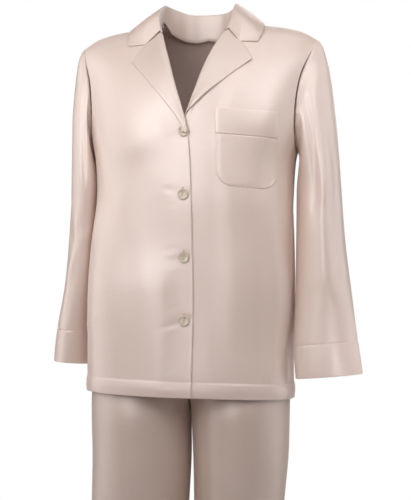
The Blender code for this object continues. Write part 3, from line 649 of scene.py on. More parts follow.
def back_surface(u, v):
    """The back, from the wearer's right side (u = 0) round to the left (u = 1)."""
    along = 2 * u - 1
    above, below = np.minimum(v, 1.0), np.clip(v - 1, 0, None)
    from_back = read(ARMHOLE, "back_angle", above) * along
    neck = np.clip(1 - (from_back / angle_of(NECK_X, 0.0)) ** 2, 0, 1) * NECK_DROP
    drop = mix(neck, read(ARMHOLE, "drop", 1.0), above)
    drop = mix(drop, read(ARMHOLE, "drop", above), np.abs(along) ** 3)
    angle = 180 - from_back
    down = mix(down_at_drop(from_back, drop), hem_down(angle), below)
    return body_point(angle, down, 0.0, np.where(v > 1, drop_of(angle, down), drop))


def on_front(across, down, out):
    return body_point(angle_of(across, down), down, out, down - ridge(across))


# ---------------------------------------------------------------- sleeves
def armhole_loop(side, shares):
    """The armhole's points down the front from the shoulder point, then up the back to it."""
    drop = read(ARMHOLE, "drop", shares)
    front = read(ARMHOLE, "front_angle", shares)
    back = read(ARMHOLE, "back_angle", shares)
    down_front = body_point(side * front, down_at_drop(front, drop), 0.0, drop)
    up_back = body_point(180 - side * back, down_at_drop(back, drop), 0.0, drop)
    return np.concatenate([down_front, up_back[-2:0:-1]])


def sleeve_ring(side, angle, down):
    """A point of the lower sleeve: angle 0 is outside, 90 in front, 180 against the body."""
    rings = SLEEVES[side][0]
    sine, cosine = waves(angle)
    outward = cosine * read(rings, "half_width", down)
    forward = sine * read(rings, "half_depth", down)
    sine, cosine = waves(read(rings, "yaw", down))
    x = outward * cosine - forward * sine
    y = -outward * sine - forward * cosine
    lift = read(rings, "tilt", down) * outward
    return stacked(read(rings, "x", down) + side * x, read(rings, "y", down) + y, lift - down)


def start_direction(side, angle):
    """Which way the sleeve leaves the armhole: out over the shoulder, level at the underarm."""
    front, cosine = waves(angle)
    over = (1 + cosine) / 2
    x = side * (CAP_OUT + CAP_OUT_TOP * over)
    return unit(stacked(x, -CAP_FORWARD * front, -CAP_FALL - CAP_FALL_TOP * over))


def from_sleeve_middle(side, points):
    """How far points are from the middle of their sleeve, in x and y."""
    ring_down = np.maximum(-points[..., 2], CAP_MIDDLE_DOWN)
    rings = SLEEVES[side][0]
    return tuple(points[..., i] - read(rings, name, ring_down) for i, name in enumerate("xy"))


def sleeve_surface(side, shares, vs):
    """The sleeve from the armhole loop (v = 0) through its cap (1) to the cuff seam (2)."""
    loop = armhole_loop(side, shares)
    walked = walk(np.concatenate([loop, loop[:1]]))
    half = len(shares) - 1
    front = 180 * walked[: half + 1] / walked[half]
    back = 180 + 180 * (walked[half:-1] - walked[half]) / (walked[-1] - walked[half])
    angles = np.concatenate([front, back[1:]])
    column, v = grid(np.arange(len(angles)), vs)
    angle, start = angles[column], loop[column]
    end = sleeve_ring(side, angle, SLEEVE_JOIN_DOWN)
    chord = np.linalg.norm(end - start, axis=-1, keepdims=True)
    leave = start_direction(side, angle) * chord * CAP_LEAVE
    arrive = unit(sleeve_ring(side, angle, SLEEVE_JOIN_DOWN + 20) - end) * chord * CAP_ARRIVE
    share = np.clip(v, 0, 1)[..., None]
    cap = (
        start * (1 + 2 * share) * (1 - share) ** 2
        + end * share**2 * (3 - 2 * share)
        + leave * share * (1 - share) ** 2
        - arrive * share**2 * (1 - share)
    )
    down = mix(SLEEVE_JOIN_DOWN, SLEEVES[side][1], np.clip(v - 1, 0, None))
    points = np.where((v > 1)[..., None], sleeve_ring(side, angle, down), cap)
    push = fold_height(SLEEVE_FOLDS[side], angle, -points[..., 2]) * ease(v / 0.4)
    x, y = from_sleeve_middle(side, points)
    return points + unit(stacked(x, y, 0 * x)) * push[..., None]


# ---------------------------------------------------------------- the pocket
def pocket_point(across_share, down, out):
    """A point on the pocket: shares 0 to 1 from its inner side to its outer side."""
    across = mix(POCKET_INNER, POCKET_OUTER, across_share)
    slope = POCKET_TILT * (across - POCKET_INNER)
    return on_front(across + POCKET_LEAN * (down - POCKET_TOP_DOWN), down + slope, out)


def pocket_surface(u, v):
    """The pocket under its band, with its two lower corners rounded."""
    bottom = POCKET_TOP_DOWN + POCKET_DEPTH
    down = mix(POCKET_TOP_DOWN + POCKET_BAND_DEPTH + SEAM_GAP, bottom, v)
    short = np.clip(1 - (bottom - down) / POCKET_CORNER, 0, 0.98)
    inset = POCKET_CORNER * (1 - np.sqrt(1 - short**2)) / (POCKET_OUTER - POCKET_INNER)
    return pocket_point(mix(inset, 1 - inset, u), down, POCKET_LIFT + POCKET_WALL)


def pocket_band_surface(u, v):
    """The pocket's turned top, a little wider than the pocket and half a layer thicker."""
    down = mix(POCKET_TOP_DOWN, POCKET_TOP_DOWN + POCKET_BAND_DEPTH, v)
    share = mix(-POCKET_BAND_OVERHANG, 1 + POCKET_BAND_OVERHANG, u)
    return pocket_point(share, down, POCKET_LIFT + POCKET_WALL * 1.5)


# ---------------------------------------------------------------- collar
def neck_seam(along):
    """The shirt's neckline: round the back to the neck points, then down each front's roll line."""
    place = np.abs(along)
    side = np.where(along < 0, -1.0, 1.0)
    round_back = np.clip(place / COLLAR_SHOULDER, 0, 1)
    half_angle = angle_of(NECK_X, 0.0) / read(ARMHOLE, "back_angle", 0.0)
    back = back_surface(0.5 + 0.5 * side * half_angle * round_back, 0 * place)
    down_front = np.clip((place - COLLAR_SHOULDER) / (1 - COLLAR_SHOULDER), 0, 1)
    down = mix(ridge(NECK_X) + 0.5, COLLAR_GORGE_DOWN, down_front)
    right_across = read(EDGES[-1], "across", down)
    across = np.where(side < 0, right_across, read(EDGES[1], "across", down))
    return np.where((place > COLLAR_SHOULDER)[..., None], on_front(across, down, 0.0), back)


def collar_point(along, across):
    """A point of the collar: along -1 to 1 from the wearer's right end to the left.

    across runs 0 at the neck seam, 1 at the fold, 2 in the middle of the fall and 3 at its edge.
    """
    place = np.abs(along)
    mirror = np.where(along < 0, -1.0, 1.0)
    # Depths and heights level off round the nape, so that the collar has no corner there.
    nape = (place**2 / COLLAR_NAPE + COLLAR_NAPE) / 2
    level = np.where(place < COLLAR_NAPE, nape, place)

    def station(name):
        x = read(COLLAR, name + "_x", place)
        y, z = read(COLLAR, name + "_y", level), read(COLLAR, name + "_z", level)
        return posed(mirror * x, y, z, -z)

    fold, middle = station("fold"), station("mid")
    drop = read(COLLAR, "edge_drop", level)
    edge_across = read(COLLAR, "edge_x", place)
    down = np.abs(drop) + ridge(edge_across)
    angle = angle_of(edge_across, down)
    edge_front = body_point(mirror * angle, down, COLLAR_EDGE_LIFT, np.abs(drop))
    edge_back = body_point(180 - mirror * angle, down, COLLAR_EDGE_LIFT, np.abs(drop))
    edge = np.where((drop < 0)[..., None], edge_back, edge_front)
    edge[..., 2] += COLLAR_EDGE_LIFT * np.clip(1 - np.abs(drop) / COLLAR_EDGE_REACH, 0, 1)
    seam = neck_seam(along)
    to_middle = unit(seam * (-1.0, -1.0, 0.0)) * COLLAR_SEAM_INSET
    seam = seam + to_middle + (0.0, 0.0, COLLAR_SEAM_LIFT)
    stand = mix(seam, fold, np.clip(across, None, 1)[..., None])
    fall = np.clip((across - 1) / 2, 0, None)[..., None]
    bend = 2 * middle - 0.5 * (fold + edge)
    curved = fold * (1 - fall) ** 2 + bend * 2 * fall * (1 - fall) + edge * fall**2
    straight = np.where(fall < 0.5, mix(fold, middle, 2 * fall), mix(middle, edge, 2 * fall - 1))
    folded_flat = ease((place - COLLAR_STRAIGHT_FROM) / COLLAR_STRAIGHT_OVER)[..., None]
    down_fall = mix(curved, straight, folded_flat)
    return np.where((across > 1)[..., None], down_fall, stand)


# ---------------------------------------------------------------- trousers
def hip_section(angle, down, depth):
    sine, cosine = waves(angle)
    x = read(HIPS, "half_width", down) * power(sine, 2 / HIP_SQUARE)
    return x, depth * power(cosine, 2 / HIP_SQUARE)


def trouser_point(side, u, down, part):
    """A trouser's front or back, from its centre seam or inseam (u = 0) to its outseam (u = 1)."""
    facing = -1 if part == "front" else 1
    body_x, body_y = hip_section(90 * u, down, read(HIPS, part, down))
    angle = -90 + 180 * u
    push = fold_height(LEG_FOLDS[side], angle if part == "front" else 180 - angle, down)
    reach = read(LEGS[side], "half_width", down) + push * LEG_FOLD_SPREAD
    sine, cosine = waves(angle)
    leg_x = read(LEGS[side], "offset", down) + reach * sine
    leg_y = (read(LEGS[side], part, down) + push) * cosine
    into_leg = ease((down - SPLIT_DOWN) / (CROTCH_DOWN - SPLIT_DOWN)) ** INTO_LEG_POWER
    x = mix(body_x, leg_x, into_leg) + SEAM_GAP / 2 * (1 - into_leg)
    return posed(side * x, facing * mix(body_y, leg_y, into_leg), -down, down)


def waistband_surface(angle, v):
    down = mix(WAISTBAND_TOP, WAISTBAND_BOTTOM, v)
    ahead = waves(angle)[1] > 0
    depth = np.where(ahead, read(HIPS, "front", down), read(HIPS, "back", down))
    x, y = hip_section(angle, down, depth)
    return posed(x, -y, -down, down)


# ---------------------------------------------------------------- fine detail of the cloth
def ripple(along, wavelength, start):
    """An uneven wave along a seam, from -1 to 1, which never quite repeats."""
    turn = 2 * math.pi * along / wavelength
    slow = np.sin(turn * 0.23 + start * 1.7) * 0.5 + 0.5
    return slow * (0.6 * np.sin(turn + start) + 0.4 * np.sin(turn * 1.73 + 2.1 * start))


def swell_height(swells, across, down):
    """The sum of the broad swells, each fading towards both ends of its line."""
    total = np.zeros(across.shape)
    for from_x, from_down, to_x, to_down, first, second, height in swells:
        run = np.array((to_x - from_x, to_down - from_down))
        length = np.linalg.norm(run)
        run = run / length
        share = ((across - from_x) * run[0] + (down - from_down) * run[1]) / length
        aside = (across - from_x) * run[1] - (down - from_down) * run[0]
        reach = np.where(aside > 0, first, second)
        fade = ease(share / SWELL_FADE) * ease((1 - share) / SWELL_FADE)
        total = total + height * fade * bell(aside, reach)
    return total


def front_relief(angle, across, down):
    """Folds all round and broad swells in front, which die out beside the row of buttons."""
    beside = ease((np.abs(across - BUTTON_ROW_X) - BUTTON_ROW_CLEAR) / BUTTON_ROW_FADE)
    clear = beside * ease((SWELLS_END_ANGLE - np.abs(angle)) / SWELLS_FADE_ANGLE)
    return fold_height(BODY_CREASES, angle, down) + clear * swell_height(FRONT_SWELLS, across, down)


def hem_rows(depth):
    """Rows beside a hem's edge and beside the line where it is sewn."""
    beside = (-5.0, -3.0, -2.0, -1.0, 0.0, 1.0, 2.0, 3.5, 6.0)
    return (*EDGE_ROWS, *(depth + step for step in beside))


def rows(count, length, low=(), high=()):
    """Even shares from 0 to 1, with extra ones at these distances from its ends."""
    even = np.linspace(0, 1, count)
    extra = [np.array(low, float) / length, 1 - np.array(high, float) / length]
    return np.unique(np.round(np.concatenate([even, *extra]), 6))


def grid_normals(points, closed):
    if closed:
        along = np.roll(points, -1, axis=0) - np.roll(points, 1, axis=0)
    else:
        along = np.gradient(points, axis=0)
    return unit(np.cross(along, np.gradient(points, axis=1)))


def distances(points):
    """How far each point is from each side of the grid, along the cloth."""
    u_steps = np.linalg.norm(np.diff(points, axis=0), axis=-1)
    v_steps = np.linalg.norm(np.diff(points, axis=1), axis=-1)
    u0 = np.concatenate([np.zeros((1, points.shape[1])), np.cumsum(u_steps, axis=0)])
    v0 = np.concatenate([np.zeros((points.shape[0], 1)), np.cumsum(v_steps, axis=1)], axis=1)
    return {"u0": u0, "u1": u0[-1:] - u0, "v0": v0, "v1": v0[:, -1:] - v0}


def seam_puckers(away, sides, strength=0.35, wavelength=17.0):
    """Small ripples beside each seam, which fade away from it."""
    push = 0.0
    for number, side in enumerate(sides):
        along = away["v0"] if side[0] == "u" else away["u0"]
        fade = np.exp(-away[side] / PUCKER_REACH)
        push = push + strength * ripple(along, wavelength, number + 1.0) * fade
    return push


def stitched_line(distance, along, depth=0.45, strength=0.5, wavelength=11.0, start=0.0):
    """A row of sewing, by the distance from it: a groove with uneven pulls beside it."""
    pulls = strength * ripple(along, wavelength, start) * bell(distance, PUCKER_REACH)
    return -depth * bell(distance, STITCH_GROOVE) + pulls


def edge_bead(distance, middle, height, width=2.0):
    """The soft roll of a turned edge."""
    return height * bell(distance - middle, width)


def hem_relief(away, depth, start):
    """A turned hem: two layers stand a little prouder below the line where it is sewn."""
    distance = away["v1"]
    doubled = HEM_LAYER * ease((depth - distance) / 2.0 + 0.5)
    puff = HEM_PUFF * np.sin(math.pi * np.clip(distance / depth, 0, 1))
    return doubled + puff + stitched_line(distance - depth, away["u0"], start=start)


def round_down(points, normals, sides):
    """Open edges turned in over a small radius, as folded cloth is."""
    for side in sides:
        share = np.clip(1 - distances(points)[side] / (EDGE_RADIUS * 1.5), 0, 1)
        points = points - normals * (EDGE_RADIUS * (1 - np.sqrt(1 - share**2 * 0.98)))[..., None]
    return points


def with_allowances(points, normals, sides):
    """The named sides dip into their seam and carry on inwards as a seam allowance."""
    for side in sides:
        axis = 0 if side[0] == "u" else 1
        order = slice(None, None, -1 if side[1] == "0" else 1)
        p, n = (np.moveaxis(values, axis, 0)[order] for values in (points, normals))
        steps = np.linalg.norm(np.diff(p[::-1], axis=0), axis=-1)
        away = np.concatenate([np.zeros((1, p.shape[1])), np.cumsum(steps, axis=0)])[::-1]
        p = p - n * (SEAM_DIP * bell(away, SEAM_ROUND))[..., None]
        into = unit(p[-2] - p[-1])
        edge = p[-1] + into * SEAM_CLEAR
        folded_in = [(edge - n[-1] * depth + into * 0.1)[None] for depth in ALLOWANCE]
        p = np.concatenate([p[:-1], edge[None], *folded_in])
        n = np.concatenate([n, *[n[-1:]] * len(ALLOWANCE)])
        points, normals = (np.moveaxis(values[order], 0, axis) for values in (p, n))
    return points


def grid_faces(count_u, count_v, closed):
    """The faces of a closed wall from two grids of points, the inner one after the outer one."""
    other = count_u * count_v
    index = np.arange(other).reshape(count_u, count_v)
    low = index if closed else index[:-1]
    high = np.roll(index, -1, axis=0) if closed else index[1:]

    def rim(first, after):
        return np.stack([first, after, after + other, first + other], axis=-1)

    outer = [low[:, :-1], high[:, :-1], high[:, 1:], low[:, 1:]]
    outer = np.stack(outer, axis=-1).reshape(-1, 4)
    walls = [outer, outer[:, ::-1] + other]
    walls += [rim(high[:, 0], low[:, 0]), rim(low[:, -1], high[:, -1])]
    if not closed:
        walls += [rim(index[0, :-1], index[0, 1:]), rim(index[-1, 1:], index[-1, :-1])]
    return np.concatenate(walls)


def add_object(name, data):
    obj = bpy.data.objects.new(name, data)
    bpy.context.scene.collection.objects.link(obj)
    return obj


def smooth_mesh(name, points, faces, material, sharp=None):
    """A mesh from points in millimetres. Edges over the angle `sharp`, in degrees, stay sharp."""
    mesh = bpy.data.meshes.new(name)
    mesh.from_pydata((np.array(points) * METRES).tolist(), [], faces)
    mesh.materials.append(material)
    mesh.shade_smooth()
    if sharp:
        mesh.set_sharp_from_angle(angle=math.radians(sharp))
    mesh.update()
    return mesh


def wall_mesh(name, outer, inner, facing, material, closed, wear):
    """The mesh of one piece of cloth, with its size along the cloth, in metres, as its UVs."""
    points = np.concatenate([outer.reshape(-1, 3), inner.reshape(-1, 3)])
    faces = grid_faces(*outer.shape[:2], closed)[:, ::facing]
    mesh = smooth_mesh(name, points, faces.tolist(), material, sharp=55)
    away = distances(outer)
    flat = np.stack([away["u0"], away["v0"]], axis=-1).reshape(-1, 2) * METRES
    flat = np.concatenate([flat, flat])[faces]
    if closed:
        round_it = flat[..., 0].max()
        girth = np.ptp(flat[..., 0], axis=1) > 0.5 * round_it
        wrapped = girth[:, None] & (flat[..., 0] < 0.25 * round_it)
        flat[..., 0] = np.where(wrapped, flat[..., 0] + round_it, flat[..., 0])
    layer = mesh.uv_layers.new(name="weave")
    layer.data.foreach_set("uv", flat.reshape(-1).astype(np.float32))
    rubbed = mesh.attributes.new("rubbed", "FLOAT", "POINT")
    rubbed.data.foreach_set("value", np.concatenate([wear.ravel()] * 2).astype(np.float32))
    return mesh


def finish_piece(piece, slot, *nodes):
    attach(piece, "root")
    if nodes:
        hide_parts(*nodes)


def cloth(
    node, form, push, facing, seams, rolled=(), dips=(),
    closed=False, thin=THIN, slot="satin", look=None,
):
    """A thin shell in place of a node: its form pushed out by its detail, seamed, folded and lined.

    facing is 1 or -1, the side of the grid that is the cloth's outer face. seams carry on inwards
    as an allowance, rolled sides are folded edges, and dips are sides that only sink into their
    seam. The face and the flat size are kept for the sewing and the sheets.
    """
    name = node.removeprefix("shirt_") if node.startswith("shirt_") else f"{node}_cloth"
    form_normals = grid_normals(form, closed) * facing
    points = face = form + form_normals * push[..., None]
    normals = grid_normals(points, closed) * facing
    away = distances(points)
    wear = np.exp(-np.min([away[side] for side in (*seams, *rolled)], axis=0) / WEAR_REACH)
    for side in dips:
        points = points - normals * (SEAM_DIP * bell(away[side], SEAM_ROUND))[..., None]
    outer = with_allowances(round_down(points, normals, rolled), normals, seams)
    grow = [[len(ALLOWANCE) * (axis + end in seams) for end in "01"] for axis in "uv"]
    wear = np.pad(wear, grow, mode="edge")
    inner = outer - grid_normals(outer, closed) * facing * thin
    mesh = wall_mesh(name, outer, inner, facing, MATERIALS[look or slot], closed, wear)
    piece = add_object(name, mesh)
    finish_piece(piece, slot, node)
    away = distances(form)
    across = away["u0"][-1]
    if closed:
        across = across + np.linalg.norm(form[-1] - form[0], axis=-1)
    size = (float(across.max()) * METRES, float(away["v0"].max()) * METRES)
    PANELS[name] = (piece, face, form_normals, size)


# ---------------------------------------------------------------- materials
def fill(tree, made, inputs):
    """Sets a node's inputs, or links them where the value is another node's output."""
    for name, value in inputs.items():
        if isinstance(value, bpy.types.NodeSocket):
            tree.links.new(value, made.inputs[name])
        else:
            made.inputs[name].default_value = value


def add(tree, kind, output, inputs=None, **settings):
    """Adds a node and returns one of its outputs."""
    made = tree.nodes.new("ShaderNode" + kind)
    for name, value in settings.items():
        setattr(made, name, value)
    fill(tree, made, inputs or {})
    return made.outputs[output]


def noise(tree, vector, **values):
    return add(tree, "TexNoise", "Fac", {"Vector": vector, **values})


def between(tree, share, low, high, from_low=0.0, from_high=1.0):
    """A share turned evenly into a value from low to high."""
    source = {"Value": share, "From Min": from_low, "From Max": from_high}
    return add(tree, "MapRange", "Result", {**source, "To Min": low, "To Max": high})


def blend(tree, share, first, second, how="MIX"):
    inputs = {0: share, 6: first, 7: second}
    return add(tree, "Mix", 2, inputs, data_type="RGBA", blend_type=how)


def colours_by(tree, share, *stops):
    """A colour for each share. The stops are places and colours, the two ends first."""
    made = tree.nodes.new("ShaderNodeValToRGB")
    elements = made.color_ramp.elements
    for number, (place, colour) in enumerate(stops):
        stop = elements[number] if number < 2 else elements.new(place)
        stop.position = place
        stop.color = (*colour, 1.0)
    fill(tree, made, {"Fac": share})
    return made.outputs["Color"]


def bump(tree, height, strength, distance, under=None):
    inputs = {"Height": height, "Strength": strength, "Distance": distance}
    if under:
        inputs["Normal"] = under
    return add(tree, "Bump", "Normal", inputs)


def start_material(name, **values):
    """A new material, its node tree and its shader, with these uniform values on the shader."""
    material = bpy.data.materials.new(name)
    material.use_nodes = True
    shader = material.node_tree.nodes["Principled BSDF"]
    for key, value in values.items():
        shader.inputs[key.replace("_", " ")].default_value = value
    return material, material.node_tree, shader


def satin(name, colour, shade, roughness):
    """Satin: a smooth face with fine ribs of thread, faint slubs and slightly paler edges."""
    material, tree, shader = start_material(
        name, Metallic=0.0, IOR=1.85, Specular_IOR_Level=1.0,
        Sheen_Weight=0.5, Sheen_Roughness=0.35, Sheen_Tint=(1.0, 0.93, 0.90, 1.0),
    )
    weave = add(tree, "UVMap", "UV", uv_map="weave")

    def strands(scale, **values):
        stretched = add(tree, "Mapping", "Vector", {"Vector": weave, "Scale": scale})
        return noise(tree, stretched, Scale=1.0, **values)

    slub = strands((30.0, 900.0, 1.0), Detail=3.0, Roughness=0.55)
    thread = strands((2400.0, 260.0, 1.0), Detail=1.0, Roughness=0.5)
    broad = noise(tree, add(tree, "TexCoord", "Object"), Scale=9.0, Detail=2.0, Roughness=0.5)
    patches = between(tree, broad, 0.0, 0.35, from_low=0.3, from_high=0.7)
    tone = blend(tree, patches, (*colour, 1.0), (*shade, 1.0))
    lines = between(tree, slub, 0.975, 1.02, from_low=0.35, from_high=0.65)
    tone = blend(tree, 1.0, tone, lines, how="MULTIPLY")
    rubbed = add(tree, "Attribute", "Fac", attribute_name="rubbed")
    faint = add(tree, "Math", "Value", {0: rubbed, 1: 0.5}, operation="MULTIPLY")
    paler = (*[min(1.0, value * 1.08) for value in colour], 1.0)
    rough = (roughness - 0.03, roughness + 0.04)
    inputs = {
        "Base Color": blend(tree, faint, tone, paler),
        "Roughness": between(tree, slub, *rough, from_low=0.3, from_high=0.7),
        "Normal": bump(tree, slub, 0.08, 0.0003, under=bump(tree, thread, 0.05, 0.00015)),
    }
    fill(tree, shader, inputs)
    return material


def pearl(name):
    """The buttons: pale and softly mottled, under a clear coat."""
    coat = {"Coat_Weight": 0.4, "Coat_Roughness": 0.12}
    material, tree, shader = start_material(name, Metallic=0.0, Specular_IOR_Level=0.6, **coat)
    place = add(tree, "TexCoord", "Object")
    mottle = noise(tree, place, Scale=240.0, Detail=4.0, Distortion=1.2)
    dark, pale = (0.50, 0.40, 0.31), (0.80, 0.69, 0.58)
    inputs = {
        "Base Color": colours_by(tree, mottle, (0.3, dark), (0.72, pale)),
        "Roughness": between(tree, mottle, 0.22, 0.42),
        "Normal": bump(tree, mottle, 0.15, 0.0003),
    }
    fill(tree, shader, inputs)
    return material


def sewing_thread(name, colour):
    """Thread: a soft twisted sheen."""
    material, tree, shader = start_material(name, Metallic=0.0, Sheen_Weight=0.3)
    twist = noise(tree, add(tree, "TexCoord", "Object"), Scale=1800.0, Detail=2.0)
    darker = (*[value * 0.8 for value in colour], 1.0)
    inputs = {
        "Base Color": blend(tree, twist, (*colour, 1.0), darker),
        "Roughness": between(tree, twist, 0.4, 0.6),
        "Normal": bump(tree, twist, 0.2, 0.0001),
    }
    fill(tree, shader, inputs)
    return material


def floor_material(name):
    """The floor: matt, with a faint change of tone."""
    material, tree, shader = start_material(name, Roughness=0.7)
    mottle = noise(tree, add(tree, "TexCoord", "Object"), Scale=3.0, Detail=3.0)
    tone = blend(tree, mottle, (0.84, 0.83, 0.82, 1.0), (0.88, 0.87, 0.86, 1.0))
    fill(tree, shader, {"Base Color": tone})
    return material


# ---------------------------------------------------------------- stitches
class Stitches:
    """Rows of stitches, gathered into one mesh."""

    def __init__(self):
        self.points = []
        self.faces = []

    def dash(self, start, end, out, radius=STITCH_RADIUS):
        """One stitch: a four-sided bar that dips into the cloth at both ends."""
        across = unit(np.cross(unit(end - start), out)) * radius
        dip = out * radius
        middle = (start + end) / 2 + dip * 1.5
        base = len(self.points)
        for centre, size in ((start - dip, 0.5), (middle, 1.0), (end - dip, 0.5)):
            self.points += [centre + step * size for step in (across, dip, -across, -dip)]
        for low in (0, 4):
            for k in range(4):
                after = (k + 1) % 4
                corners = (low + k, low + after, low + after + 4, low + k + 4)
                self.faces.append(tuple(base + corner for corner in corners))
        self.faces.append((base + 3, base + 2, base + 1, base))
        self.faces.append((base + 8, base + 9, base + 10, base + 11))

    def row(self, line, normals, lift=0.05):
        """Stitches along a line of points on the cloth."""
        walked = walk(line)
        starts = np.arange(1.0, walked[-1] - STITCH_LENGTH, STITCH_PITCH)
        line = line + normals * lift

        def at(distance, values):
            return np.stack([np.interp(distance, walked, values[:, k]) for k in range(3)], axis=-1)

        outs = unit(at(starts + STITCH_LENGTH / 2, normals))
        for start, end, out in zip(at(starts, line), at(starts + STITCH_LENGTH, line), outs):
            self.dash(start, end, out)

    def finish(self, name, material, slot):
        mesh = smooth_mesh(name, self.points, self.faces, MATERIALS[material])
        finish_piece(add_object(name, mesh), slot)


def line_on(name, side, distance, skip=0.0):
    """A line of points on a panel's outer face, this far in from one of its sides."""
    points, normals = PANELS[name][1:3]
    away = distances(points)[side]
    if side[0] == "v":
        away, points, normals = away.T, points.swapaxes(0, 1), normals.swapaxes(0, 1)
    line, outs = [], []
    for column in range(away.shape[1]):
        order = np.argsort(away[:, column])
        share = np.interp(distance, away[order, column], order)
        low = int(min(math.floor(share), len(order) - 2))
        for found, values in ((line, points), (outs, normals)):
            found.append(mix(values[low, column], values[low + 1, column], share - low))
    line, outs = np.array(line), unit(np.array(outs))
    walked = walk(line)
    keep = (walked >= skip) & (walked <= walked[-1] - skip)
    return line[keep], outs[keep]


# ---------------------------------------------------------------- the shirt
def body_place(points):
    """(angle, down) of points on the shirt's body, near enough to lay folds by."""
    down = -points[..., 2]
    sine, cosine = waves(read(BODY, "turn", down))
    x, y = points[..., 0] - read(BODY, "middle", down), points[..., 1]
    straight_x, straight_y = x * cosine - y * sine, x * sine + y * cosine
    depth = np.where(straight_y < 0, read(BODY, "front", down), read(BODY, "back", down))
    wide = straight_x / read(BODY, "half_width", down)
    return np.degrees(np.arctan2(wide, -straight_y / depth)), down


def body_detail(points, seams):
    angle, down = body_place(points)
    away = distances(points)
    push = front_relief(angle, points[..., 0], down) + seam_puckers(away, seams)
    return push + hem_relief(away, SHIRT_HEM, start=3.0)


def body_rows(count_above, count_below):
    above = rows(count_above, 205.0, low=SEAM_ROWS)
    return np.concatenate([above, 1 + rows(count_below, 500.0, high=hem_rows(SHIRT_HEM))[1:]])


def button_down(number):
    return BUTTON_FIRST_DOWN + number * BUTTON_PITCH


def button_pull(points):
    """Where each button holds the cloth, it dips, with short creases running off to the sides."""
    push = 0.0
    for number in range(BUTTON_COUNT):
        centre = on_front(0.0, button_down(number), 0.0)
        across = points[..., 0] - centre[0]
        up = points[..., 2] - centre[2]
        reach = np.hypot(across, up)
        push = push - BUTTON_DIP * bell(reach, DIP_REACH)
        crease = bell(up - PULL_SLANTS[number] * across, PULL_WIDTH)
        lengthwise = bell(reach, PULL_REACH) * (1 - bell(reach, PULL_START))
        push = push - PULL_DEPTHS[number] * crease * lengthwise
    return push


def shirt_fronts():
    seams, rolled = ("u1", "v0"), ("u0", "v1")
    u, v = grid(rows(64, 150.0, low=EDGE_ROWS, high=SEAM_ROWS), body_rows(64, 140))
    right = front_surface(-1, u, v)
    away = distances(right)
    buttoned = ease((-right[..., 2] - BUTTON_FIRST_DOWN) / 30.0)
    push = body_detail(right, seams) + button_pull(right)
    push = push + buttoned * edge_bead(away["u0"], 2.5, 0.7, EDGE_BEAD)
    facing_edge = stitched_line(
        away["u0"] - FACING_EDGE, away["v0"], depth=0.0, strength=0.35, wavelength=26.0
    )
    push = push + buttoned * facing_edge
    cloth("shirt_front_right", right, push, 1, seams, rolled)

    beneath = 1 - ease((u - BENEATH_ACROSS) / BENEATH_ACROSS_FADE)
    beneath = beneath * ease((v - BENEATH_DOWN) / BENEATH_DOWN_FADE)
    left = front_surface(1, u, v, -beneath * (WALL + UNDER_GAP))
    cloth("shirt_front_left", left, body_detail(left, seams), -1, seams, rolled)


def shirt_back():
    u, v = grid(rows(130, 560.0, low=SEAM_ROWS, high=SEAM_ROWS), body_rows(60, 130))
    points = back_surface(u, v)
    push = body_detail(points, ("u0", "u1", "v0"))
    cloth("shirt_back", points, push, 1, ("u0", "u1"), ("v1",), dips=("v0",))


def sleeve(side, word):
    vs = np.concatenate([rows(56, 230.0, low=SEAM_ROWS), 1 + rows(84, 260.0, high=SEAM_ROWS)[1:]])
    points = sleeve_surface(side, rows(54, 230.0), vs)
    away = distances(points)
    down = -points[..., 2]
    x, y = from_sleeve_middle(side, points)
    angle = np.degrees(np.arctan2(-y, side * x))
    push = fold_height(SLEEVE_CREASES[side], angle, down) * ease(vs / 0.3)
    tuck = bell(angle - TUCK_ANGLE, TUCK_SPREAD) * ease((down - 45) / 40)
    push = push - TUCK_DEPTH * tuck * bell(away["v0"], TUCK_REACH)
    push = push + seam_puckers(away, ("v0",), strength=0.5, wavelength=19.0)
    push = push + seam_puckers(away, ("v1",), strength=0.35, wavelength=15.0)
    cloth(f"sleeve_{word}", points, push, side, ("v0", "v1"), closed=True)

    seam, edge = SLEEVES[side][1:]
    angle, v = grid(np.arange(0, 360, 3.0), rows(16, edge - seam, low=SEAM_ROWS, high=EDGE_ROWS))
    points = sleeve_ring(side, angle, mix(seam, edge, v))
    push = seam_puckers(distances(points), ("v0",), strength=0.3, wavelength=13.0)
    push = push + 0.6 * np.sin(math.pi * v)
    cloth(f"cuff_{word}", points, push, side, ("v0",), ("v1",), closed=True, thin=DOUBLED_THIN)


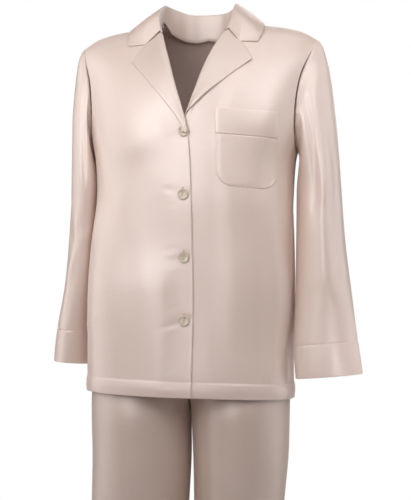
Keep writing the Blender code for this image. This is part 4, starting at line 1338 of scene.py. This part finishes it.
def lapel_shell(side):
    """The grid of a lapel: up behind its roll line, round the roll and out to its edge."""
    lapel = LAPELS[side]
    vs = rows(96, 200.0, low=EDGE_ROWS, high=EDGE_ROWS)
    roll_down = read(lapel, "roll_down", vs)
    roll_across = read(EDGES[side], "across", roll_down)
    shift = LAPEL_ENDS[side] * ease((vs - LAPEL_ENDING) / (1 - LAPEL_ENDING))
    puff = LAPEL_ROLL_LIFT * (1 - 0.8 * vs)
    under = LAPEL_UNDER * (1 - 0.55 * vs)
    bend = (LAPEL_LIFT + puff * 0.25 + under) / 2
    lines = []
    for step in (9.0, 6.0, 3.0):
        lines.append(on_front(roll_across + side * step, roll_down, shift - under))
    for turn in np.radians((175, 150, 125, 100, 75, 50, 25)):
        out = bend - under + bend * np.cos(turn)
        lines.append(on_front(roll_across - side * bend * np.sin(turn), roll_down, shift + out))
    edge_across = np.interp(vs, lapel["place"], lapel["edge_across"])
    edge_down = np.interp(vs, lapel["place"], lapel["edge_down"])
    for u in rows(36, 70.0, high=EDGE_ROWS):
        beside_roll = (1 - u) * min(max(u * 6 + 0.25, 0), 1)
        out = LAPEL_LIFT + puff * beside_roll - LAPEL_SETTLE * ease(u / 0.5)
        across = mix(roll_across, edge_across, u)
        down = mix(roll_down, edge_down, u)
        out = out + front_relief(angle_of(across, down), across, down)
        corner = bell(vs - LAPEL_CORNER, LAPEL_CORNER_WIDTH) * ease((u - 0.4) / 0.6)
        lines.append(on_front(across, down, shift + out + LAPEL_CORNER_LIFT * corner))
    return np.array(lines)


def lapel(side, word):
    points = lapel_shell(side)
    across, along = (np.linspace(0, 1, count) for count in points.shape[:2])
    wave = np.sin(math.pi * across)[:, None] * np.sin(6.2 * along + side)
    push = edge_bead(distances(points)["u1"], 2.2, 0.35) + LAPEL_WAVE * wave
    # The lapel wears the darker copy of the satin, whose deeper colour is painted shade.
    look = {"thin": LAPEL_THIN, "look": "satin_painted_shade"}
    cloth(f"lapel_{word}", points, push, -side, (), ALL_ROUND, **look)


def collar():
    ends = rows(76, 210.0, high=EDGE_ROWS)
    stand = rows(9, 26.0)
    roll = 1 + rows(12, 14.0)[1:] * 0.3
    fall = 1.3 + rows(24, 46.0, high=EDGE_ROWS)[1:] * 1.7
    across = np.concatenate([(-0.3, -0.2, -0.1), stand, roll, fall])
    a, b = grid(np.concatenate([-ends[::-1], ends[1:]]), across)
    # Below the seam the stand carries on inwards, but only behind the shoulders.
    below = ease((COLLAR_SHOULDER - np.abs(a)) / 0.06)
    points = collar_point(a, np.where(b < 0, b * below - 0.01, b))
    away = distances(points)
    wave = 0.45 * ripple(away["u0"], 64.0, 2.0) * np.exp(-away["v1"] / 26.0)
    push = ease((b - 1.1) / 0.4) * (edge_bead(away["v1"], 2.6, 0.5, EDGE_BEAD) + wave)
    # The collar wears the same darker copy of the satin, with its painted shade.
    look = {"thin": COLLAR_THIN, "look": "satin_painted_shade"}
    cloth("collar", points, push, 1, (), ALL_ROUND, **look)


def pocket_settled(points, nearest):
    """The pocket lies close to the front, follows its small folds and is held at its edges."""
    angle, down = body_place(points)
    relief = front_relief(angle, points[..., 0], down)
    return relief - POCKET_SETTLE - POCKET_EDGE_SINK * bell(nearest, POCKET_EDGE_REACH)


def pocket():
    us = rows(40, 100.0, low=EDGE_ROWS, high=EDGE_ROWS)
    u, v = grid(us, rows(36, 78.0, low=EDGE_ROWS, high=EDGE_ROWS))
    points = pocket_surface(u, v)
    away = distances(points)
    nearest = np.min([away["u0"], away["u1"], away["v1"]], axis=0)
    sewn = stitched_line(
        nearest - POCKET_STITCH, away["v0"] + away["u0"], depth=0.25, strength=0.25, wavelength=13.0
    )
    push = pocket_settled(points, nearest) + sewn
    cloth("pocket", points, push, -1, (), ALL_ROUND, thin=POCKET_THIN)
    u, v = grid(us, rows(16, 25.0, low=EDGE_ROWS, high=EDGE_ROWS))
    points = pocket_band_surface(u, v)
    away = distances(points)
    nearest = np.minimum(away["u0"], away["u1"])
    push = pocket_settled(points, nearest) - BAND_SINK + 0.3 * np.sin(math.pi * v)
    cloth("pocket_band", points, push, -1, (), ALL_ROUND, thin=POCKET_THIN)


# ---------------------------------------------------------------- the trousers
def trouser(side, word, part):
    length = TROUSER_HEM_DOWN - WAISTBAND_BOTTOM
    downs = rows(230, length, low=SEAM_ROWS, high=hem_rows(TROUSER_HEM))
    us = rows(52, 330.0, low=SEAM_ROWS, high=SEAM_ROWS)
    u, down = grid(us, WAISTBAND_BOTTOM + length * downs)
    points = trouser_point(side, u, down, part)
    away = distances(points)
    angle = 180 * u - 90
    seams = ("u0", "u1", "v0")
    push = fold_height(LEG_CREASES, angle if part == "front" else 180 - angle, down)
    push = push + seam_puckers(away, seams, strength=0.3, wavelength=21.0)
    gathered = np.exp(-away["v0"] / GATHER_REACH)
    push = push + GATHER * ripple(away["u0"], 15.0, 1.0 + side) * gathered
    push = push + hem_relief(away, TROUSER_HEM, start=5.0)
    facing = -side if part == "front" else side
    cloth(f"trouser_{part}_{word}", points, push, facing, seams, ("v1",), slot="satin_trousers")


def waistband():
    depth = WAISTBAND_BOTTOM - WAISTBAND_TOP
    vs = rows(14, depth, low=EDGE_ROWS, high=SEAM_ROWS)
    angle, v = grid(np.arange(0, 360, 1.25), vs)
    around = angle / 360 * 2 * math.pi
    gathers = np.sin(63 * around) * 0.6 + np.sin(41 * around + 1.3) * 0.4
    puff = np.sin(math.pi * v)
    push = GATHER * gathers * (0.4 + 0.6 * puff) + 0.5 * puff
    look = {"closed": True, "thin": DOUBLED_THIN, "slot": "satin_trousers"}
    points = waistband_surface(angle, v)
    cloth("waistband", points, push, -1, ("v1",), ("v0",), **look)


# ---------------------------------------------------------------- buttons and sewing
def turned(name, centre, axes, profile, sides):
    """A closed solid turned about the last of three axes: profile rows are (radius, height)."""
    side, rise, out = axes
    turn = np.linspace(0, 2 * math.pi, sides, endpoint=False)
    ring = np.cos(turn)[:, None] * side + np.sin(turn)[:, None] * rise
    points = np.concatenate([centre + ring * radius + out * height for radius, height in profile])
    last = (len(profile) - 1) * sides
    faces = []
    for low in range(0, last, sides):
        for step in range(sides):
            after = (step + 1) % sides
            faces.append((low + step, low + after, low + sides + after, low + sides + step))
    faces.append(tuple(range(sides))[::-1])
    faces.append(tuple(last + step for step in range(sides)))
    return add_object(name, smooth_mesh(name, points, faces, MATERIALS["button"], sharp=50))


def cut_holes(button, centres, axes):
    cutters = []
    for number, centre in enumerate(centres):
        profile = ((HOLE_RADIUS, -BUTTON_THICKNESS), (HOLE_RADIUS, 2 * BUTTON_THICKNESS))
        cutters.append(turned(f"hole_{number}", centre, axes, profile, 24))
        cut = button.modifiers.new("hole", "BOOLEAN")
        cut.operation = "DIFFERENCE"
        cut.solver = "EXACT"
        cut.object = cutters[-1]
    bpy.context.view_layer.update()
    graph = bpy.context.evaluated_depsgraph_get()
    cut_mesh = bpy.data.meshes.new_from_object(button.evaluated_get(graph))
    button.modifiers.clear()
    button.data = cut_mesh
    for cutter in cutters:
        bpy.data.objects.remove(cutter)


def button(index, sewing, edging):
    """A button with its two holes, the thread through them, and its buttonhole's edging."""
    down = button_down(index)
    centre = on_front(0.0, down, 0.0)
    side = unit(on_front(1.0, down, 0.0) - on_front(-1.0, down, 0.0))
    rise = unit(on_front(0.0, down - 1.0, 0.0) - on_front(0.0, down + 1.0, 0.0))
    out = unit(np.cross(side, rise))
    rise = np.cross(out, side)
    axes = (side, rise, out)
    profile = [
        (radius * BUTTON_RADIUS, height * BUTTON_THICKNESS + BUTTON_LIFT)
        for radius, height in FINE_BUTTON
    ]
    made = turned(f"button_{index + 1}_pearl", centre, axes, profile, 64)
    holes = [centre + rise * sign * HOLE_SPREAD for sign in (-1, 1)]
    cut_holes(made, holes, axes)
    finish_piece(made, "button", f"button_{index + 1}")

    face = BUTTON_THICKNESS * DISH + BUTTON_LIFT
    for strand in STRANDS_ACROSS:
        over = side * strand + out * (face + 0.1)
        sewing.dash(holes[0] + over, holes[1] + over, out, THREAD_RADIUS)
    for hole in holes:
        for strand in STRANDS_DOWN:
            foot = hole + side * strand
            sewing.dash(foot - out, foot + out * (face - 0.4), side, THREAD_DOWN_RADIUS)
    for step in np.arange(-BUTTONHOLE / 2, BUTTONHOLE / 2 + 3.0, EDGING_PITCH):
        for sign in (-1, 1):
            ends = [on_front(sign * across, down - step, 0.1) for across in EDGING_ACROSS]
            edging.dash(*ends, out, EDGING_RADIUS)


def buttons():
    sewing, edging = Stitches(), Stitches()
    for index in range(BUTTON_COUNT):
        button(index, sewing, edging)
    sewing.finish("button_thread", "thread", "satin")
    edging.finish("buttonhole_edging", "thread", "satin")


def sewing_lines():
    shirt = Stitches()
    for name in ("front_right", "front_left", "back"):
        shirt.row(*line_on(name, "v1", SHIRT_HEM, 1.0))
    for word in ("right", "left"):
        shirt.row(*line_on(f"cuff_{word}_cloth", "v0", CUFF_STITCH))
    for side, skip in (("u0", 4.0), ("u1", 4.0), ("v1", 16.0)):
        shirt.row(*line_on("pocket_cloth", side, POCKET_STITCH, skip))
    shirt.row(*line_on("pocket_band_cloth", "v1", BAND_STITCH, 1.0))
    shirt.finish("shirt_sewing", "thread", "satin")
    legs = Stitches()
    for word in ("right", "left"):
        for part in ("front", "back"):
            legs.row(*line_on(f"trouser_{part}_{word}_cloth", "v1", TROUSER_HEM, 1.0))
    legs.row(*line_on("waistband_cloth", "v1", WAIST_STITCH))
    legs.finish("trouser_sewing", "dark_thread", "satin_trousers")


# ---------------------------------------------------------------- stage, lights, camera
def softboxes():
    for line in LIGHTS.split("\n"):
        name, *values = line.split()
        values = [float(value) for value in values]
        light = bpy.data.lights.new(name, "AREA")
        light.shape = "RECTANGLE"
        light.size, light.size_y, light.energy, spread = values[6:]
        light.color = LIGHT_TINT
        light.spread = math.radians(spread)
        obj = add_object(name, light)
        place, target = Vector(values[:3]), Vector(values[3:6])
        obj.location = place
        obj.visible_camera = False
        obj.rotation_euler = (target - place).to_track_quat("-Z", "Y").to_euler()


def floor():
    turn = np.linspace(0, 2 * math.pi, FLOOR_SIDES, endpoint=False)
    ring = stacked(np.cos(turn) * FLOOR_RADIUS, np.sin(turn) * FLOOR_RADIUS, -FLOOR_DOWN)
    mesh = smooth_mesh("floor", ring, [tuple(range(FLOOR_SIDES))], MATERIALS["floor"])
    add_object("floor", mesh)


def surroundings():
    """Soft grey light from all round, with white where the camera looks past the object."""
    world = bpy.data.worlds.new("studio")
    bpy.context.scene.world = world
    world.use_nodes = True
    tree = world.node_tree
    tree.nodes.clear()
    direction = add(tree, "TexCoord", "Generated")
    height = add(tree, "SeparateXYZ", "Z", {"Vector": direction})
    share = between(tree, height, 0.0, 1.0, from_low=-1.0)
    below, beside, above = AMBIENT
    sky = colours_by(tree, share, (0.0, below), (1.0, above), (0.5, beside))
    ambient = add(tree, "Background", "Background", {"Color": sky, "Strength": 1.0})
    white = add(tree, "Background", "Background", {"Color": (1.0, 1.0, 1.0, 1.0)})
    seen = add(tree, "LightPath", "Is Camera Ray")
    picked = add(tree, "MixShader", "Shader", {"Fac": seen, 1: ambient, 2: white})
    fill(tree, tree.nodes.new("ShaderNodeOutputWorld"), {"Surface": picked})


def camera():
    lens = bpy.data.cameras.new("camera")
    lens.sensor_width = CAMERA_SENSOR
    lens.lens = CAMERA_LENS
    eye = add_object("camera", lens)
    eye.location = CAMERA_PLACE
    eye.rotation_euler = (math.radians(90), 0.0, 0.0)
    bpy.context.scene.camera = eye
    bpy.context.scene.view_settings.view_transform = "Standard"


def declare_sheets():
    """Works out each sheet's flat size and area, half that of its two-faced mesh and at most its
    rectangle's, but keeps neither.
    """
    for line in HELD.split("\n"):
        name, held, under = line.split()
        piece, _, _, (width, length) = PANELS[name]
        area = sum(face.area for face in piece.data.polygons) / 2
        area = min(1.0, area / (width * length)) * width * length


PANELS = {}
MATERIALS = {
    "satin": satin("satin", (0.78, 0.615, 0.545), (0.70, 0.54, 0.47), 0.40),
    # A darker copy of the satin for the lapels and collar: its deeper colour is painted shade, for
    # their turned faces, which catch less light.
    "satin_painted_shade": satin("satin_painted_shade", (0.70, 0.545, 0.475), (0.64, 0.485, 0.42), 0.40),
    # The trousers are the same satin as the shirt; their darker colour is painted shade, for the
    # dimmer light low down.
    "satin_trousers": satin("satin_trousers", (0.635, 0.485, 0.415), (0.57, 0.425, 0.36), 0.44),
    "button": pearl("button"),
    "thread": sewing_thread("thread", (0.78, 0.66, 0.60)),
    # The trousers' thread is darkened to match them, with the same painted shade.
    "dark_thread": sewing_thread("dark_thread", (0.62, 0.50, 0.45)),
    "floor": floor_material("floor"),
}

shirt_fronts()
shirt_back()
for side, word in SIDES:
    sleeve(side, word)
for side, word in SIDES:
    lapel(side, word)
collar()
pocket()
for side, word in SIDES:
    for part in ("front", "back"):
        trouser(side, word, part)
waistband()
buttons()
sewing_lines()
floor()
softboxes()
surroundings()
camera()
declare_sheets()
